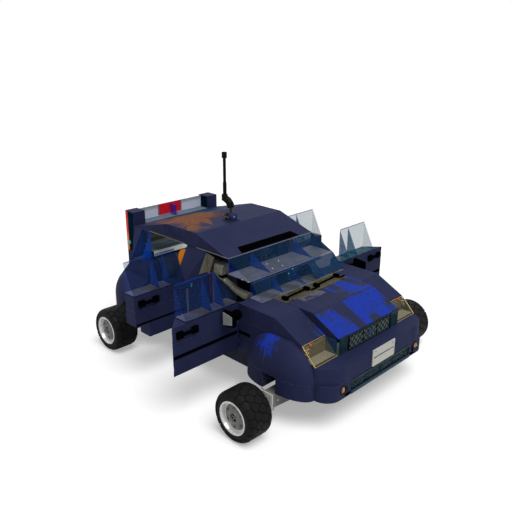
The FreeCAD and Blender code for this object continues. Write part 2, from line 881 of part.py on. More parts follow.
def knuckle():
    """The right-hand steering knuckle: barrel, plate and spindle."""
    x = kingpin_x()
    base = V(x, y_front_axle, z_hub - knuckle_height / 2)
    barrel = Part.makeCylinder(knuckle_radius, knuckle_height, base, UP)
    plate_x = x - arm_width / 2 - gap - knuckle_plate_thickness
    half = knuckle_plate / 2
    plate = box((plate_x, plate_x + knuckle_plate_thickness),
                (y_front_axle - half, y_front_axle + half), (z_hub - half, z_hub + half))
    neck = rod(V(plate_x, y_front_axle, z_hub), V(x, y_front_axle, z_hub), spindle_radius)
    spindle = rod(V(-front_track_half - hub_end(), y_front_axle, z_hub),
                  V(plate_x, y_front_axle, z_hub), spindle_radius)
    hole = Part.makeCylinder(kingpin_radius + pin_play, 2 * knuckle_height,
                             V(x, y_front_axle, z_hub - knuckle_height), UP)
    return join([barrel, plate, neck, spindle]).cut(hole)


def revolved(points, centre):
    """A ring about the X axis from (x, radius) points, at a wheel's centre."""
    wire = Part.makePolygon([V(p[0], 0, p[1]) for p in points + points[:1]])
    ring = Part.Face(wire).revolve(V(0, 0, 0), V(1, 0, 0), 360)
    ring.translate(centre)
    return ring


def tyre(centre):
    """A broad tyre, each round shoulder made of flats."""
    half, turn = tyre_width / 2, tyre_shoulder
    angles = [math.radians(90 * step / shoulder_flats) for step in range(shoulder_flats + 1)]
    shoulder = [(half - turn + turn * math.cos(angle), tyre_radius - turn + turn * math.sin(angle))
                for angle in angles]
    return revolved([(-half, rim_radius)] + [(-x, radius) for x, radius in shoulder]
                    + shoulder[::-1] + [(half, rim_radius)], centre)


def rim(centre, outward):
    """A dished rim: barrel, disc and a hub bored for its spindle."""
    half = rim_width / 2
    disc = outward * (half - rim_dish)
    back = disc - outward * disc_thickness
    inner = back - outward * hub_length
    bore = spindle_radius + pin_play
    barrel = revolved([(-half, rim_radius - rim_wall), (-half, rim_radius),
                       (half, rim_radius), (half, rim_radius - rim_wall)], centre)
    plate = revolved([(disc, 0), (disc, rim_radius - rim_wall / 2),
                      (back, rim_radius - rim_wall / 2), (back, 0)], centre)
    hub = revolved([(back, bore), (back, hub_radius), (inner, hub_radius), (inner, bore)], centre)
    return join([barrel, plate, hub])


def antenna():
    """Plate, round-topped housing, stem, cranked elbow, mast and head on the roof."""
    half, base = antenna_housing / 2, antenna_base / 2
    z = z_roof + antenna_plate
    plate = box((antenna_x - base, antenna_x + base), (antenna_y - base, antenna_y + base),
                (z_roof, z))
    crown = z + antenna_housing_height - half
    x, y = ((middle - half, middle + half) for middle in (antenna_x, antenna_y))
    round_top = Part.makeCylinder(half, antenna_housing, V(x[0], antenna_y, crown), V(1, 0, 0))
    housing = join([box(x, y, (z, crown)), round_top.common(box(x, y, (crown, crown + half)))])
    top = V(antenna_x, antenna_y, crown)
    bend = top + UP * (half + antenna_stem_height)
    shoulder = bend + V(0, antenna_crank, antenna_elbow_height)
    tip = shoulder + UP * antenna_mast_height
    return join([plate, housing, rod(top, bend, antenna_stem),
                 Part.makeSphere(antenna_elbow, bend), rod(bend, shoulder, antenna_elbow),
                 Part.makeSphere(antenna_elbow, shoulder), rod(shoulder, tip, antenna_mast),
                 rod(tip - UP * antenna_head_height, tip, antenna_head)])


def wipers():
    """Two wiper arms lying on the cowl."""
    blades = []
    for start in (-half_hood + wall / 2, wiper_width):
        blades.append(box((start, start + wiper_length),
                          (y_foot - cowl_depth / 2, y_foot - cowl_depth / 2 + wiper_width),
                          (z_belt, z_belt + wiper_height)))
    return blades


def main():
    nodes = {}
    nodes["floor_pan"] = [floor_pan()]
    nodes["front_bumper"] = [front_bumper()]
    nodes["rear_bumper"] = [bumper(y_tail, 1)]
    nodes["intake_pane"] = [intake_pane()]
    nodes["fog_lamps"] = fog_lamps()
    nodes["number_plates"] = number_plates()
    nodes["grille"] = [grille()]
    nodes["headlamps"] = headlamps()
    nodes["wipers"] = wipers()
    nodes["windshield"] = [windshield()]
    nodes["dashboard"] = [dashboard()]
    nodes["roof"] = [roof()]
    nodes["side_windows"] = side_windows()
    nodes["tail_posts"] = tail_posts()
    nodes["tail_lamps"] = tail_lamps()
    nodes["light_bar_lens"] = [light_bar_lens()]
    nodes["rear_window"] = [rear_window()]
    nodes["front_seats"] = front_seats()
    nodes["rear_bench"] = [rear_bench()]
    nodes["engine"] = [engine()]
    nodes["antenna"] = [antenna()]
    nodes["wheel_arms"] = wheel_arms()
    nodes["steering_wheel"] = [steering_wheel()]

    # The hood on the cowl, and the tailgate under the light bar's rail
    lid, shelf = hood(), cowl()
    for x in (-half_hood + hinge_inset, half_hood - hinge_inset):
        shelf, lid = Hinge(V(x, y_cowl, z_belt), V(0, 0, -1), V(0, -1, 0)).hang(shelf, lid)
    nodes["hood"], nodes["cowl"] = [lid], [shelf]
    gate, rail = tailgate(), light_bar_base()
    for x in (-half_hood + hinge_inset, half_hood - hinge_inset):
        rail, gate = Hinge(V(x, y_tail, z_eave), V(0, -1, 0), V(0, 0, -1)).hang(rail, gate)
    nodes["tailgate"], nodes["light_bar_base"] = [gate], [rail]

    # Doors are made closed, hung, and then swung open
    fender, pillar = front_fender(), b_pillar()
    panels = {"front": front_door(), "rear": rear_door()}
    glazing = {"front": front_door_glass(), "rear": rear_door_glass()}
    hinge_y = {"front": y_door, "rear": y_b}
    free_edge = {"front": y_b, "rear": y_c}
    for hinge in door_hinges(y_door):
        fender, panels["front"] = hinge.hang(fender, panels["front"])
    for hinge in door_hinges(y_b):
        pillar, panels["rear"] = hinge.hang(pillar, panels["rear"], pillar_wedge(gap))
    nodes["front_fenders"] = pair(fender)
    nodes["b_pillars"] = pair(pillar)
    nodes["quarter_panels"] = quarters()
    moving = {"front": [("panel", panels["front"]), ("glass", glazing["front"]),
                        ("mirror", mirror())],
              "rear": [("panel", panels["rear"]), ("glass", glazing["rear"])]}
    for place, pieces in moving.items():
        centre = V(-half_body, hinge_y[place], 0)
        pieces.append(("handle", door_handle(free_edge[place])))
        for name, shape in pieces:
            opened = turned(shape, centre, UP, 90)
            nodes[f"right_{place}_door_{name}"] = [opened]
            nodes[f"left_{place}_door_{name}"] = [mirrored(opened)]

    # Wheels and knuckles
    for side, sign in (("right", -1), ("left", 1)):
        for place, x, y in (("front", front_track_half, y_front_axle),
                            ("rear", rear_track_half, y_rear_axle)):
            centre = V(sign * x, y, z_hub)
            nodes[f"{side}_{place}_tyre"] = [tyre(centre)]
            nodes[f"{side}_{place}_rim"] = [rim(centre, sign)]
    nodes["right_knuckle"] = [knuckle()]
    nodes["left_knuckle"] = [mirrored(knuckle())]

    os.makedirs("parts", exist_ok=True)
    for name, solids in nodes.items():
        solids = [solid for shape in solids for solid in shape.Solids]
        shape = solids[0] if len(solids) == 1 else Part.makeCompound(solids)
        shape.exportStep(f"parts/{name}.step")
        ends, volume = shape.BoundBox, shape.Volume / 1e9
        print(f"{name:26s} solids {len(solids)}  volume {volume:7.4f} m3  valid {shape.isValid()}"
              f"  x {ends.XMin:7.0f} {ends.XMax:7.0f}  y {ends.YMin:7.0f} {ends.YMax:7.0f}"
              f"  z {ends.ZMin:7.0f} {ends.ZMax:7.0f}")
    print(len(nodes), "nodes")


main()
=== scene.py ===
# %% [markdown]
# # A block-built patrol car
#
# This file dresses a finished model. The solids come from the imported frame, each at its
# real place in metres, and stay as they are. The lesson adds what the solids lack: paint,
# glass, tread, lamps, seats and trim. Every new piece rides on the body that carries it,
# so it follows when a door or a wheel turns.

# %% Load the frame
import math
import bpy
from mathutils import Matrix, Vector


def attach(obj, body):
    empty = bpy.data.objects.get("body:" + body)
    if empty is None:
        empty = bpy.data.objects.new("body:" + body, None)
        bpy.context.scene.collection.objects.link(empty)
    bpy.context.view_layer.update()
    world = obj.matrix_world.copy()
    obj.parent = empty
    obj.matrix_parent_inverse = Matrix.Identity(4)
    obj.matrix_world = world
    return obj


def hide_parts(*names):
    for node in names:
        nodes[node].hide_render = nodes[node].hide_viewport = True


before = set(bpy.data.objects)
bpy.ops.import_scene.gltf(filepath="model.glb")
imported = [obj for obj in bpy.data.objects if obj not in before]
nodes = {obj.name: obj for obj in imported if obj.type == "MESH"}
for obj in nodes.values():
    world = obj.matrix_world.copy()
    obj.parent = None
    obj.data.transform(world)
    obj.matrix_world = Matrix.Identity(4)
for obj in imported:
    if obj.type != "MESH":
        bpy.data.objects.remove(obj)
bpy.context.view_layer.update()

# %% [markdown]
# ## The body's grid
#
# The car's body follows a square pitch of 200 mm, counted from its middle along X and Y
# and from its underside along Z. The paint's seams and the marks on the glass lie on it,
# so one function turns grid units into metres.

# %% Grid units
PITCH = 0.2
UNDERSIDE = 0.378


def grid(x, y, z):
    """A point in grid units, as metres."""
    return Vector((x * PITCH, y * PITCH, UNDERSIDE + z * PITCH))


print("belt at", round(grid(0, 0, 4).z, 3), "m, roof at", round(grid(0, 0, 7).z, 3), "m")

# %% [markdown]
# ## Camera
#
# The car is seen from its right front corner and from above, through a 45.5 degree lens.
# The camera's place was worked out from the body's corners in the photograph, so it is
# written as numbers. A camera could also be aimed with a Track To constraint, but a fixed
# matrix stays the same when the objects change.

# %% Camera
YAW, PITCH_DOWN, ROLL, LENS = [math.radians(angle) for angle in (45.15, 19.43, 0.14, 45.52)]
look = Vector((math.sin(YAW) * math.cos(PITCH_DOWN), math.cos(YAW) * math.cos(PITCH_DOWN),
               -math.sin(PITCH_DOWN)))
turn = look.to_track_quat("-Z", "Y").to_matrix().to_4x4()
camera_data = bpy.data.cameras.new("camera")
camera_data.angle = LENS
camera = bpy.data.objects.new("camera", camera_data)
bpy.context.scene.collection.objects.link(camera)
camera.matrix_world = (Matrix.Translation((-5.5706, -5.4404, 4.1168)) @ turn
                       @ Matrix.Rotation(ROLL, 4, "Z"))
bpy.context.scene.camera = camera
bpy.context.scene.view_settings.view_transform = "Standard"
print("camera looks along", [round(v, 3) for v in look])

# %% [markdown]
# ## Shader maths as plain expressions
#
# A material is a graph of nodes, and adding Math nodes by hand is slow to read. This small
# class wraps one output socket, so that `1 - mask * 0.5` adds its own Math nodes. Every
# other node comes from the method `node`, which sets the node's options first and then
# its inputs, from plain values or from other wrapped sockets.

# %% Wire
class Wire:
    """One output socket of a shader node, usable in arithmetic."""

    def __init__(self, tree, socket=None):
        self.tree, self.socket = tree, socket

    def node(self, kind, settings=None, inputs=None, out=0):
        made = self.tree.nodes.new("ShaderNode" + kind)
        for key, value in (settings or {}).items():
            if key == "stops":
                ramp = made.color_ramp.elements
                while len(ramp) < len(value):
                    ramp.new(0.5)
                for stop, (place, colour) in zip(ramp, value):
                    stop.position, stop.color = place, colour
            else:
                setattr(made, key, value)
        for key, value in (inputs or {}).items():
            if isinstance(value, Wire):
                self.tree.links.new(value.socket, made.inputs[key])
            else:
                made.inputs[key].default_value = value
        return Wire(self.tree, made.outputs[out])

    def math(self, operation, first, second=0.0):
        return self.node("Math", {"operation": operation}, {0: first, 1: second})

    def __add__(self, other):
        return self.math("ADD", self, other)

    def __sub__(self, other):
        return self.math("SUBTRACT", self, other)

    def __rsub__(self, other):
        return self.math("SUBTRACT", other, self)

    def __mul__(self, other):
        return self.math("MULTIPLY", self, other)

    def __gt__(self, other):
        return self.math("GREATER_THAN", self, other)

    def __lt__(self, other):
        return self.math("LESS_THAN", self, other)

    def __abs__(self):
        return self.math("ABSOLUTE", self)

    __radd__, __rmul__ = __add__, __mul__

    def fract(self):
        return self.math("FRACT", self)

    def either(self, other):
        """The larger of two masks."""
        return self.math("MAXIMUM", self, other)

    def between(self, low, high):
        """1 inside the band from low to high, 0 outside it."""
        return (self > low) * (self < high)

    def ramp(self, low, high):
        """0 below low, 1 above high and a straight rise between them."""
        return self.node("MapRange", {}, {"Value": self, "From Min": low, "From Max": high})

    def lines(self, places, width):
        """1 on thin lines at these places along a coordinate."""
        mask = 0.0 * self
        for place in places:
            mask = mask.either(abs(self - place) < width / 2)
        return mask


print("Wire ready")

# %% [markdown]
# ## Materials
#
# Colours are written as they look on a screen and turned into the linear values that
# shaders take. A `Finish` is one material being written: it holds the shader, the
# object's own coordinates, and short ways to ask for noise, a mix or a bump. Object
# coordinates are used because a pattern on them stays fixed to the piece when it moves.

# %% Finish
def srgb(*tone):
    """A screen colour as linear values."""
    return (*[((c / 255 + 0.055) / 1.055) ** 2.4 if c > 10 else c / 255 / 12.92 for c in tone],
            1.0)


class Finish:
    """A material being written: its name, its shader, and the object coordinates."""

    def __init__(self, name, rough=0.5, spec=0.5, metal=0.0, alpha=1.0):
        self.material = bpy.data.materials.new(name)
        self.material.use_nodes = True
        self.tree = self.material.node_tree
        self.shader = self.tree.nodes["Principled BSDF"]
        for key, value in (("Roughness", rough), ("Specular IOR Level", spec),
                           ("Metallic", metal), ("Alpha", alpha)):
            self.shader.inputs[key].default_value = value
        self.wire = Wire(self.tree)
        self.place = self.wire.node("TexCoord", out=3)
        self.x, self.y, self.z = self.split(self.place)

    def split(self, vector):
        made = self.wire.node("SeparateXYZ", inputs={0: vector}).socket.node
        return [Wire(self.tree, output) for output in made.outputs]

    def normal(self):
        """The direction a face points in, in the object's own axes."""
        return self.split(self.wire.node("TexCoord", out=1))

    def noise(self, scale, detail=4.0, rough=0.6, warp=0.0, stretch=None):
        place = self.place
        if stretch:
            place = self.wire.node("Mapping", inputs={"Vector": place, "Scale": stretch})
        return self.wire.node("TexNoise", {}, {
            "Vector": place, "Scale": scale, "Detail": detail, "Roughness": rough,
            "Distortion": warp})

    def box(self, x, y, soft=0.03):
        """1 over a patch seen from above, given in pitches, with soft borders."""
        mask = 1.0
        for wire, ends in ((self.x, x), (self.y, y)):
            low, high = [wire.ramp(end * PITCH - soft, end * PITCH + soft) for end in ends]
            mask = low * (1 - high) * mask
        return mask

    def mound(self, x, y, wide, long):
        """A height that falls away from a point, seen from above."""
        away_x, away_y = self.x - x, self.y - y
        return away_x * away_x * -wide - away_y * away_y * long

    def mix(self, mask, first, second):
        return self.wire.node("Mix", {"data_type": "RGBA"},
                              {0: mask, 6: first, 7: second}, out=2)

    def cover(self, mask, colour):
        """Lay a colour over the colour so far."""
        self.colour = self.mix(mask, self.colour, colour)

    def put(self, socket, value):
        self.tree.links.new(value.socket, self.shader.inputs[socket])

    def bump(self, height, strength=0.3, distance=0.001):
        self.put("Normal", self.wire.node(
            "Bump", {}, {"Height": height, "Strength": strength, "Distance": distance}))


def mottled(name, tone, spread=0.25, scale=12.0, grain=0.15, **look):
    """A finish whose colour wanders a little, with a fine grain."""
    finish = Finish(name, **{"spec": 0.1, **look})
    dark, light = [(*[min(1.0, c * share) for c in srgb(*tone)[:3]], 1.0)
                   for share in (1 - spread, 1 + spread)]
    patches = finish.noise(scale, 5.0, 0.65).ramp(0.3, 0.7)
    finish.put("Base Color", finish.mix(patches, dark, light))
    finish.bump(finish.noise(350.0, 2.0), grain, 0.0006)
    return finish


def having(*words):
    """The CAD nodes whose names hold one of these words."""
    return [name for name in nodes if any(word in name for word in words)]


def dress(finish, *names):
    """Give CAD nodes this finish alone."""
    for name in names:
        slots = nodes[name].data.materials
        slots.clear()
        slots.append(finish.material)
    print(finish.material.name, "on", len(names), "nodes")
    return finish


print("nodes of the wheels:", having("tyre", "rim"))

# %% [markdown]
# ## Modelling helpers
#
# New pieces are made as by hand: a primitive, some edit-mode steps, and modifiers that are
# applied. Operators act on the selection, so each helper first leaves one object selected,
# and faces are picked by where they are or which way they point. A test is a function, or
# a direction such as "-y", or None for the whole mesh.

# %% Primitives
def alone(piece):
    """Select one object and nothing else."""
    if bpy.context.mode != "OBJECT":
        bpy.ops.object.mode_set(mode="OBJECT")
    bpy.ops.object.select_all(action="DESELECT")
    piece.select_set(True)
    bpy.context.view_layer.objects.active = piece
    return piece


def settle(piece):
    """Put an object's place, turn and scale into its mesh."""
    alone(piece)
    bpy.ops.object.transform_apply(location=True, rotation=True, scale=True)
    return piece


def primitive(add, name, **settings):
    """Add a primitive, under its own name."""
    bpy.ops.object.select_all(action="DESELECT")
    add(**settings)
    piece = bpy.context.object
    piece.name = piece.data.name = name
    return settle(piece)


def block(name, low, high):
    """A cube stretched between two corners, as a start."""
    low, high = Vector(low), Vector(high)
    return primitive(bpy.ops.mesh.primitive_cube_add, name, size=1, location=(low + high) / 2,
                     scale=high - low)


def drum(name, start, end, radius, sides=32):
    """A cylinder between two points, as a start."""
    start, end = Vector(start), Vector(end)
    return primitive(
        bpy.ops.mesh.primitive_cylinder_add, name, vertices=sides, radius=radius,
        depth=(end - start).length, location=(start + end) / 2,
        rotation=(end - start).to_track_quat("Z", "Y").to_euler())


def ball(name, centre, radius, segments=16, rings=10):
    """A sphere, as a start."""
    return primitive(bpy.ops.mesh.primitive_uv_sphere_add, name, segments=segments,
                     ring_count=rings, radius=radius, location=centre)


print("primitives ready: block, drum, ball")


# %% Edit-mode steps
def facing(way, limit=0.9):
    """A test for faces that point along an axis, such as "x" or "-y"."""
    axis, sign = "xyz".index(way[-1]), -1 if way[0] == "-" else 1
    return lambda centre, normal: normal[axis] * sign > limit


def edit(piece, test, *steps, kind="FACE"):
    """Run edit-mode operators, each with its settings, on what passes a test."""
    if isinstance(test, str):
        test = facing(test)
    alone(piece)
    bpy.ops.object.mode_set(mode="EDIT")
    bpy.ops.mesh.select_mode(type=kind)
    bpy.ops.mesh.select_all(action="DESELECT" if test else "SELECT")
    bpy.ops.object.mode_set(mode="OBJECT")
    if test and kind == "FACE":
        for face in piece.data.polygons:
            face.select = test(face.center, face.normal)
    elif test:
        for vertex in piece.data.vertices:
            vertex.select = test(vertex.co)
    bpy.ops.object.mode_set(mode="EDIT")
    for operator, settings in steps:
        operator(**settings)
    bpy.ops.object.mode_set(mode="OBJECT")
    return piece


def inset(piece, test, *steps):
    """Inset the faces that pass a test, each time by a width and a depth."""
    return edit(piece, test, *[(bpy.ops.mesh.inset, {"thickness": width, "depth": depth})
                               for width, depth in steps])


def pull(piece, test, move, grow=1.0):
    """Extrude the faces that pass a test, then widen or narrow their end."""
    way = {"TRANSFORM_OT_translate": {"value": Vector(move)}}
    return edit(piece, test, (bpy.ops.mesh.extrude_region_move, way),
                (bpy.ops.transform.resize, {"value": (grow, grow, grow)}))


def shift(piece, test, move):
    """Move the vertices that pass a test."""
    return edit(piece, test, (bpy.ops.transform.translate, {"value": Vector(move)}), kind="VERT")


def slice_off(piece, point, normal, fill=True):
    """Cut away what lies on the side that the normal points to."""
    return edit(piece, None, (bpy.ops.mesh.bisect, {
        "plane_co": Vector(point), "plane_no": Vector(normal), "use_fill": fill,
        "clear_outer": True}), kind="VERT")


def outward(piece, merge=0.00001):
    """Merge doubles and point every face outwards."""
    return edit(piece, None, (bpy.ops.mesh.remove_doubles, {"threshold": merge}),
                (bpy.ops.mesh.normals_make_consistent, {"inside": False}), kind="VERT")


print("edit steps ready: inset, pull, shift, slice_off, outward")


# %% Modifiers and copies
def modify(piece, kind, **settings):
    """Add a modifier and apply it."""
    alone(piece)
    bpy.ops.object.modifier_add(type=kind)
    modifier = piece.modifiers[-1]
    for key, value in settings.items():
        setattr(modifier, key, value)
    bpy.ops.object.modifier_apply(modifier=modifier.name)
    return piece


def repeat(piece, count, step):
    """A row of copies, a fixed step apart."""
    return modify(piece, "ARRAY", count=count, use_relative_offset=False,
                  use_constant_offset=True, constant_offset_displace=step)


def soften(piece, width, segments=2):
    """Bevel the sharp edges."""
    return modify(piece, "BEVEL", width=width, segments=segments, limit_method="ANGLE",
                  angle_limit=math.radians(30))


def smooth(piece, angle=35):
    alone(piece)
    bpy.ops.object.shade_smooth_by_angle(angle=math.radians(angle))
    return piece


def copy_of(piece, name, matrix):
    """A copy with its own mesh, placed by a matrix."""
    alone(piece)
    bpy.ops.object.duplicate()
    twin = bpy.context.object
    twin.name = twin.data.name = name
    twin.matrix_world = matrix @ twin.matrix_world
    settle(twin)
    return outward(twin) if matrix.determinant() < 0 else twin


def shifted(piece, name, move):
    return copy_of(piece, name, Matrix.Translation(Vector(move)))


def joined(name, pieces):
    """Several meshes as one piece."""
    alone(pieces[0])
    for piece in pieces[1:]:
        piece.select_set(True)
    if len(pieces) > 1:
        bpy.ops.object.join()
    whole = bpy.context.object
    whole.name = whole.data.name = name
    return whole


print("modifiers and copies ready")


# %% Common pieces
def panel(name, low, high, way, width, depth, edge=0.003, segments=2):
    """A softened block with one side inset, and sunk or raised."""
    return soften(inset(block(name, low, high), way, (width, depth)), edge, segments)


def bar(name, low, high, edge=0.003, segments=2):
    """A softened block."""
    return soften(block(name, low, high), edge, segments)


def hose(name, points, overlap, radii, sides, voxel, rounds, extra=()):
    """Drums from point to point, melted into one bent tube."""
    parts = [drum("part", start, end + (end - start) * overlap, radius, sides)
             for start, end, radius in zip(points, points[1:], radii)]
    modify(joined(name, parts + list(extra)), "REMESH", mode="VOXEL", voxel_size=voxel)
    return smooth(modify(bpy.context.object, "SMOOTH", iterations=rounds, factor=0.5), 60)


def fitted(piece, finish, body="body"):
    """Finish a piece, let it ride on its body, and say so."""
    piece.data.materials.clear()
    piece.data.materials.append(finish.material)
    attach(piece, body)
    print(piece.name, "with", len(piece.data.polygons), "faces, on", body)
    return piece


MIRROR = Matrix.Scale(-1, 4, (1, 0, 0))


def both_sides(piece, finish, body="body"):
    """Fit a right-hand piece, and its mirrored twin on the left."""
    twin = copy_of(piece, piece.name.replace("right_", "left_"), MIRROR)
    fitted(piece, finish, body)
    return piece, fitted(twin, finish, body.replace("right_", "left_"))


print("panel, bar, hose, fitted and both_sides ready")

# %% [markdown]
# ## Navy paint with wear
#
# The paint is a dull navy. It is joined from panels, and where two panels meet a thin
# light line shows, broken by wear. Blue was sprayed over the nose later and has come off
# in ragged clouds, panel by panel, and rust has come through on the roof. Painting such
# wear by hand needs an image, so it is worked out instead: noise says how ragged a cloud
# is, and a bias for each panel says how much of it that panel has.

# %% Navy paint
def paint(name, seams_z=(1, 3), seams_y=(), seams_x=()):
    """Navy paint with light seams on these grid lines."""
    finish = Finish(name, rough=0.6, spec=0.06)
    finish.colour = finish.mix(finish.noise(3.0, 6.0, 0.65).ramp(0.3, 0.7), srgb(34, 39, 69),
                               srgb(40, 45, 76))
    steep = abs(finish.normal()[2])
    side, top = steep < 0.5, steep > 0.5
    worn = finish.noise(24.0, 2.0) > 0.47
    mask = finish.z.lines([UNDERSIDE + PITCH * k for k in seams_z], 0.005) * side
    mask = mask.either(finish.y.lines([PITCH * k for k in seams_y], 0.004) * side)
    mask = mask.either(finish.x.lines([PITCH * k for k in seams_x], 0.004) * top)
    finish.seams = mask * worn * 0.45
    finish.bump(finish.noise(220.0, 2.0), 0.05, 0.0005)
    return finish


def painted(finish, *names):
    """Lay the seams over the colour, connect it and dress the nodes."""
    finish.cover(finish.seams, srgb(84, 90, 125))
    finish.put("Base Color", finish.colour)
    dress(finish, *names)


painted(paint("navy_paint", seams_y=(-6, -4, 5)), "front_bumper", "rear_bumper", "b_pillars",
        "quarter_panels", "tail_posts", "tailgate", *having("door_panel"))

# %% Overspray on the nose
nose = paint("navy_paint_sprayed", seams_y=(-6, -4), seams_x=(-2, 2))
sprayed = nose.box((-3.2, -1.0), (-9.3, -7.35), 0.012) * 0.49 - 0.4
for x, y, share in (((-0.4, 3.2), (-9.3, -7.0), 0.10), ((1.1, 3.2), (-7.1, -4.8), 0.12),
                    ((0.2, 1.2), (-7.0, -5.0), 0.0), ((-3.2, -1.2), (-7.5, -7.1), 0.02),
                    ((-3.7, -3.0), (-8.2, -6.8), -0.06)):
    sprayed = sprayed.either(nose.box(x, y) * (share + 0.4) - 0.4)
for x, y, share in (((-1.35, -1.0), (-8.6, -7.2), 0.12), ((0.5, 1.2), (-9.2, -8.5), 0.16),
                    ((2.35, 2.9), (-6.7, -4.9), 0.22), ((2.6, 3.2), (-8.6, -8.1), 0.12)):
    sprayed = sprayed - nose.box(x, y) * share
over_y, over_z = nose.y + 1.17, nose.z - 0.90
splash = nose.noise(13.0, 6.0, 0.7, 1.0) - over_y * over_y * 5 - over_z * over_z * 8
splash = splash.ramp(0.40, 0.45) * (nose.x < -1.01)
ragged = nose.noise(5.5, 9.0, 0.70, 1.2, (1.3, 0.7, 1.0)) + sprayed
ragged = ragged - (nose.z < UNDERSIDE + PITCH * 2.0) * 0.3
upper = abs(nose.normal()[2]) > 0.5
rubbed = ragged.ramp(0.34, 0.50) * upper * nose.noise(9.0, 6.0, 0.7, 0.5).ramp(0.40, 0.52)
nose.cover(rubbed * 0.8, srgb(48, 51, 50))
fleck = nose.noise(22.0, 5.0, 0.7).ramp(0.35, 0.62)
nose.cover((ragged.ramp(0.50, 0.55) * upper).either(splash),
           nose.mix(fleck, srgb(30, 50, 128), srgb(27, 56, 172)))
scuff = nose.noise(9.0, 8.0, 0.7, 1.0, (0.8, 1.2, 1.0))
scuff = scuff - (1 - nose.box((-2.1, 0.05), (-5.75, -4.8), 0.02)) * 0.5
nose.cover(scuff.ramp(0.45, 0.52) * 0.85, srgb(98, 96, 104))
painted(nose, "hood", "front_fenders")

# %% Rust on the roof
top = paint("navy_paint_rusted", seams_z=(), seams_y=(2, 4, 5))
spread = (top.mound(-0.34, 1.16, 0.55, 0.5) + 0.17).either(top.mound(-0.66, 0.66, 4.5, 2.6) + 0.10)
rusty = (top.noise(3.4, 8.0, 0.62, 0.6, (1.0, 0.8, 1.0)) + spread).ramp(0.50, 0.60)
rusty = rusty * (top.z > UNDERSIDE + PITCH * 6.03)
# Painted shade: a dark blue-teal patch over the rear left of the roof, laid under the rust.
top.cover(top.box((0.2, 3.2), (5.2, 9.2), 0.12) * 0.6, srgb(8, 34, 66))
rust = top.mix(top.noise(25.0, 6.0, 0.7).ramp(0.35, 0.65), srgb(108, 72, 58), srgb(136, 90, 60))
top.cover(rusty * (top.normal()[2] > 0.5) * 0.95, rust)
top.put("Roughness", rusty * 0.3 + 0.6)
painted(top, "roof")

# %% [markdown]
# ## Glazing
#
# The windows are hollow wedges of tinted acrylic: a sloping pane, a level pane below it,
# and upright webs between the bays. The three read differently. The sloping panes are a
# clear dark blue, the level ones are a lighter grey that is painted light standing for the
# light from above, and the webs are a strong blue. One finish covers them all, because the
# direction that a face points in tells which it is.

# %% Glazing
def glazing(name, clear, slope_tone, top_lit_level_tones, web_tones, bare, smoked=None):
    """Tinted acrylic: its cover on the slopes, its tones, and which ends are bare or smoked."""
    finish = Finish(name, rough=0.3, spec=0.04)
    steep = abs(finish.normal()[2])
    level, upright = steep.ramp(0.93, 0.97), 1 - steep.ramp(0.03, 0.10)
    dusty = finish.noise(7.0, 6.0, 0.7, 0.6).ramp(0.46, 0.54)
    cloud = finish.noise(3.0).ramp(0.3, 0.7)
    slope = finish.mix(cloud, srgb(*[0.8 * tone for tone in slope_tone]), srgb(*slope_tone))
    slope = finish.mix((finish.x > 1.0) * 0.8, slope, srgb(10, 96, 112))
    strips = (finish.x * 2.5 + finish.y).fract().ramp(0.60, 0.64) * (finish.z < 1.2)
    # The level panes' grey tones are painted light: a lighter copy of the tint that stands for
    # light from above.
    flat = finish.mix(strips * 0.8, finish.mix(dusty, *[srgb(*tone) for tone in top_lit_level_tones]),
                      srgb(122, 112, 84))
    web = finish.mix(cloud, *[srgb(*tone) for tone in web_tones])
    cover = level * (0.80 - clear) + upright * (0.64 - clear) + clear
    if smoked:
        dark = smoked(finish.x) * upright
        web = finish.mix(dark, web, srgb(18, 46, 88))
        film = smoked(finish.x + 0.55) * finish.z.between(1.20, 1.385) * (1 - level)
        cover = cover + dark * 0.26 + film * (1 - upright) * 0.54
    finish.put("Base Color", finish.mix(upright, finish.mix(level, slope, flat), web))
    finish.put("Alpha", cover * (1 - bare(finish.x) * upright * 0.85))
    return finish


# The level tones given here are painted light from above, not the acrylic's own colour.
dress(glazing("tinted_side_glass", 0.32, (12, 38, 84), ((116, 118, 142), (132, 134, 156)),
              ((22, 74, 184), (30, 86, 200)),
              lambda x: (abs(x) > 1.780).either(abs(x).between(1.0, 1.022))),
      "side_windows", *having("door_glass"))
dress(glazing("tinted_windshield", 0.26, (24, 60, 98), ((144, 146, 158), (160, 162, 172)),
              ((30, 78, 200), (40, 90, 220)), lambda x: x < -0.79, lambda x: x > 0.79),
      "windshield")
dress(mottled("tinted_rear_glass", (12, 30, 52), 0.3, 4.0, 0.02, rough=0.15, alpha=0.86),
      "rear_window")

# %% [markdown]
# ## Other finishes
#
# The rest are single materials with their own grain: plastics, cloth, rubber and bare
# metal. Each is mottled a little, because an even colour looks like a screen picture.

# %% Other finishes
black = mottled("black_plastic", (4, 4, 4), 0.3, 40.0, 0.3, rough=0.6, spec=0.0)
dress(black, "wipers", "steering_wheel", "fog_lamps", *having("mirror", "handle"))
dress(mottled("underbody", (38, 41, 58), 0.3, rough=0.75), "floor_pan")
dress(mottled("intake_glass", (14, 42, 52), 0.3, rough=0.2, alpha=0.5), "intake_pane")
dress(mottled("clear_lens", (150, 140, 104), 0.2, rough=0.2, alpha=0.07), "headlamps")
dress(mottled("olive_metal", (128, 127, 122), 0.2), "wheel_arms", "right_knuckle",
      "left_knuckle")
dress(mottled("engine_metal", (60, 60, 60), 0.3, metal=0.4), "engine")
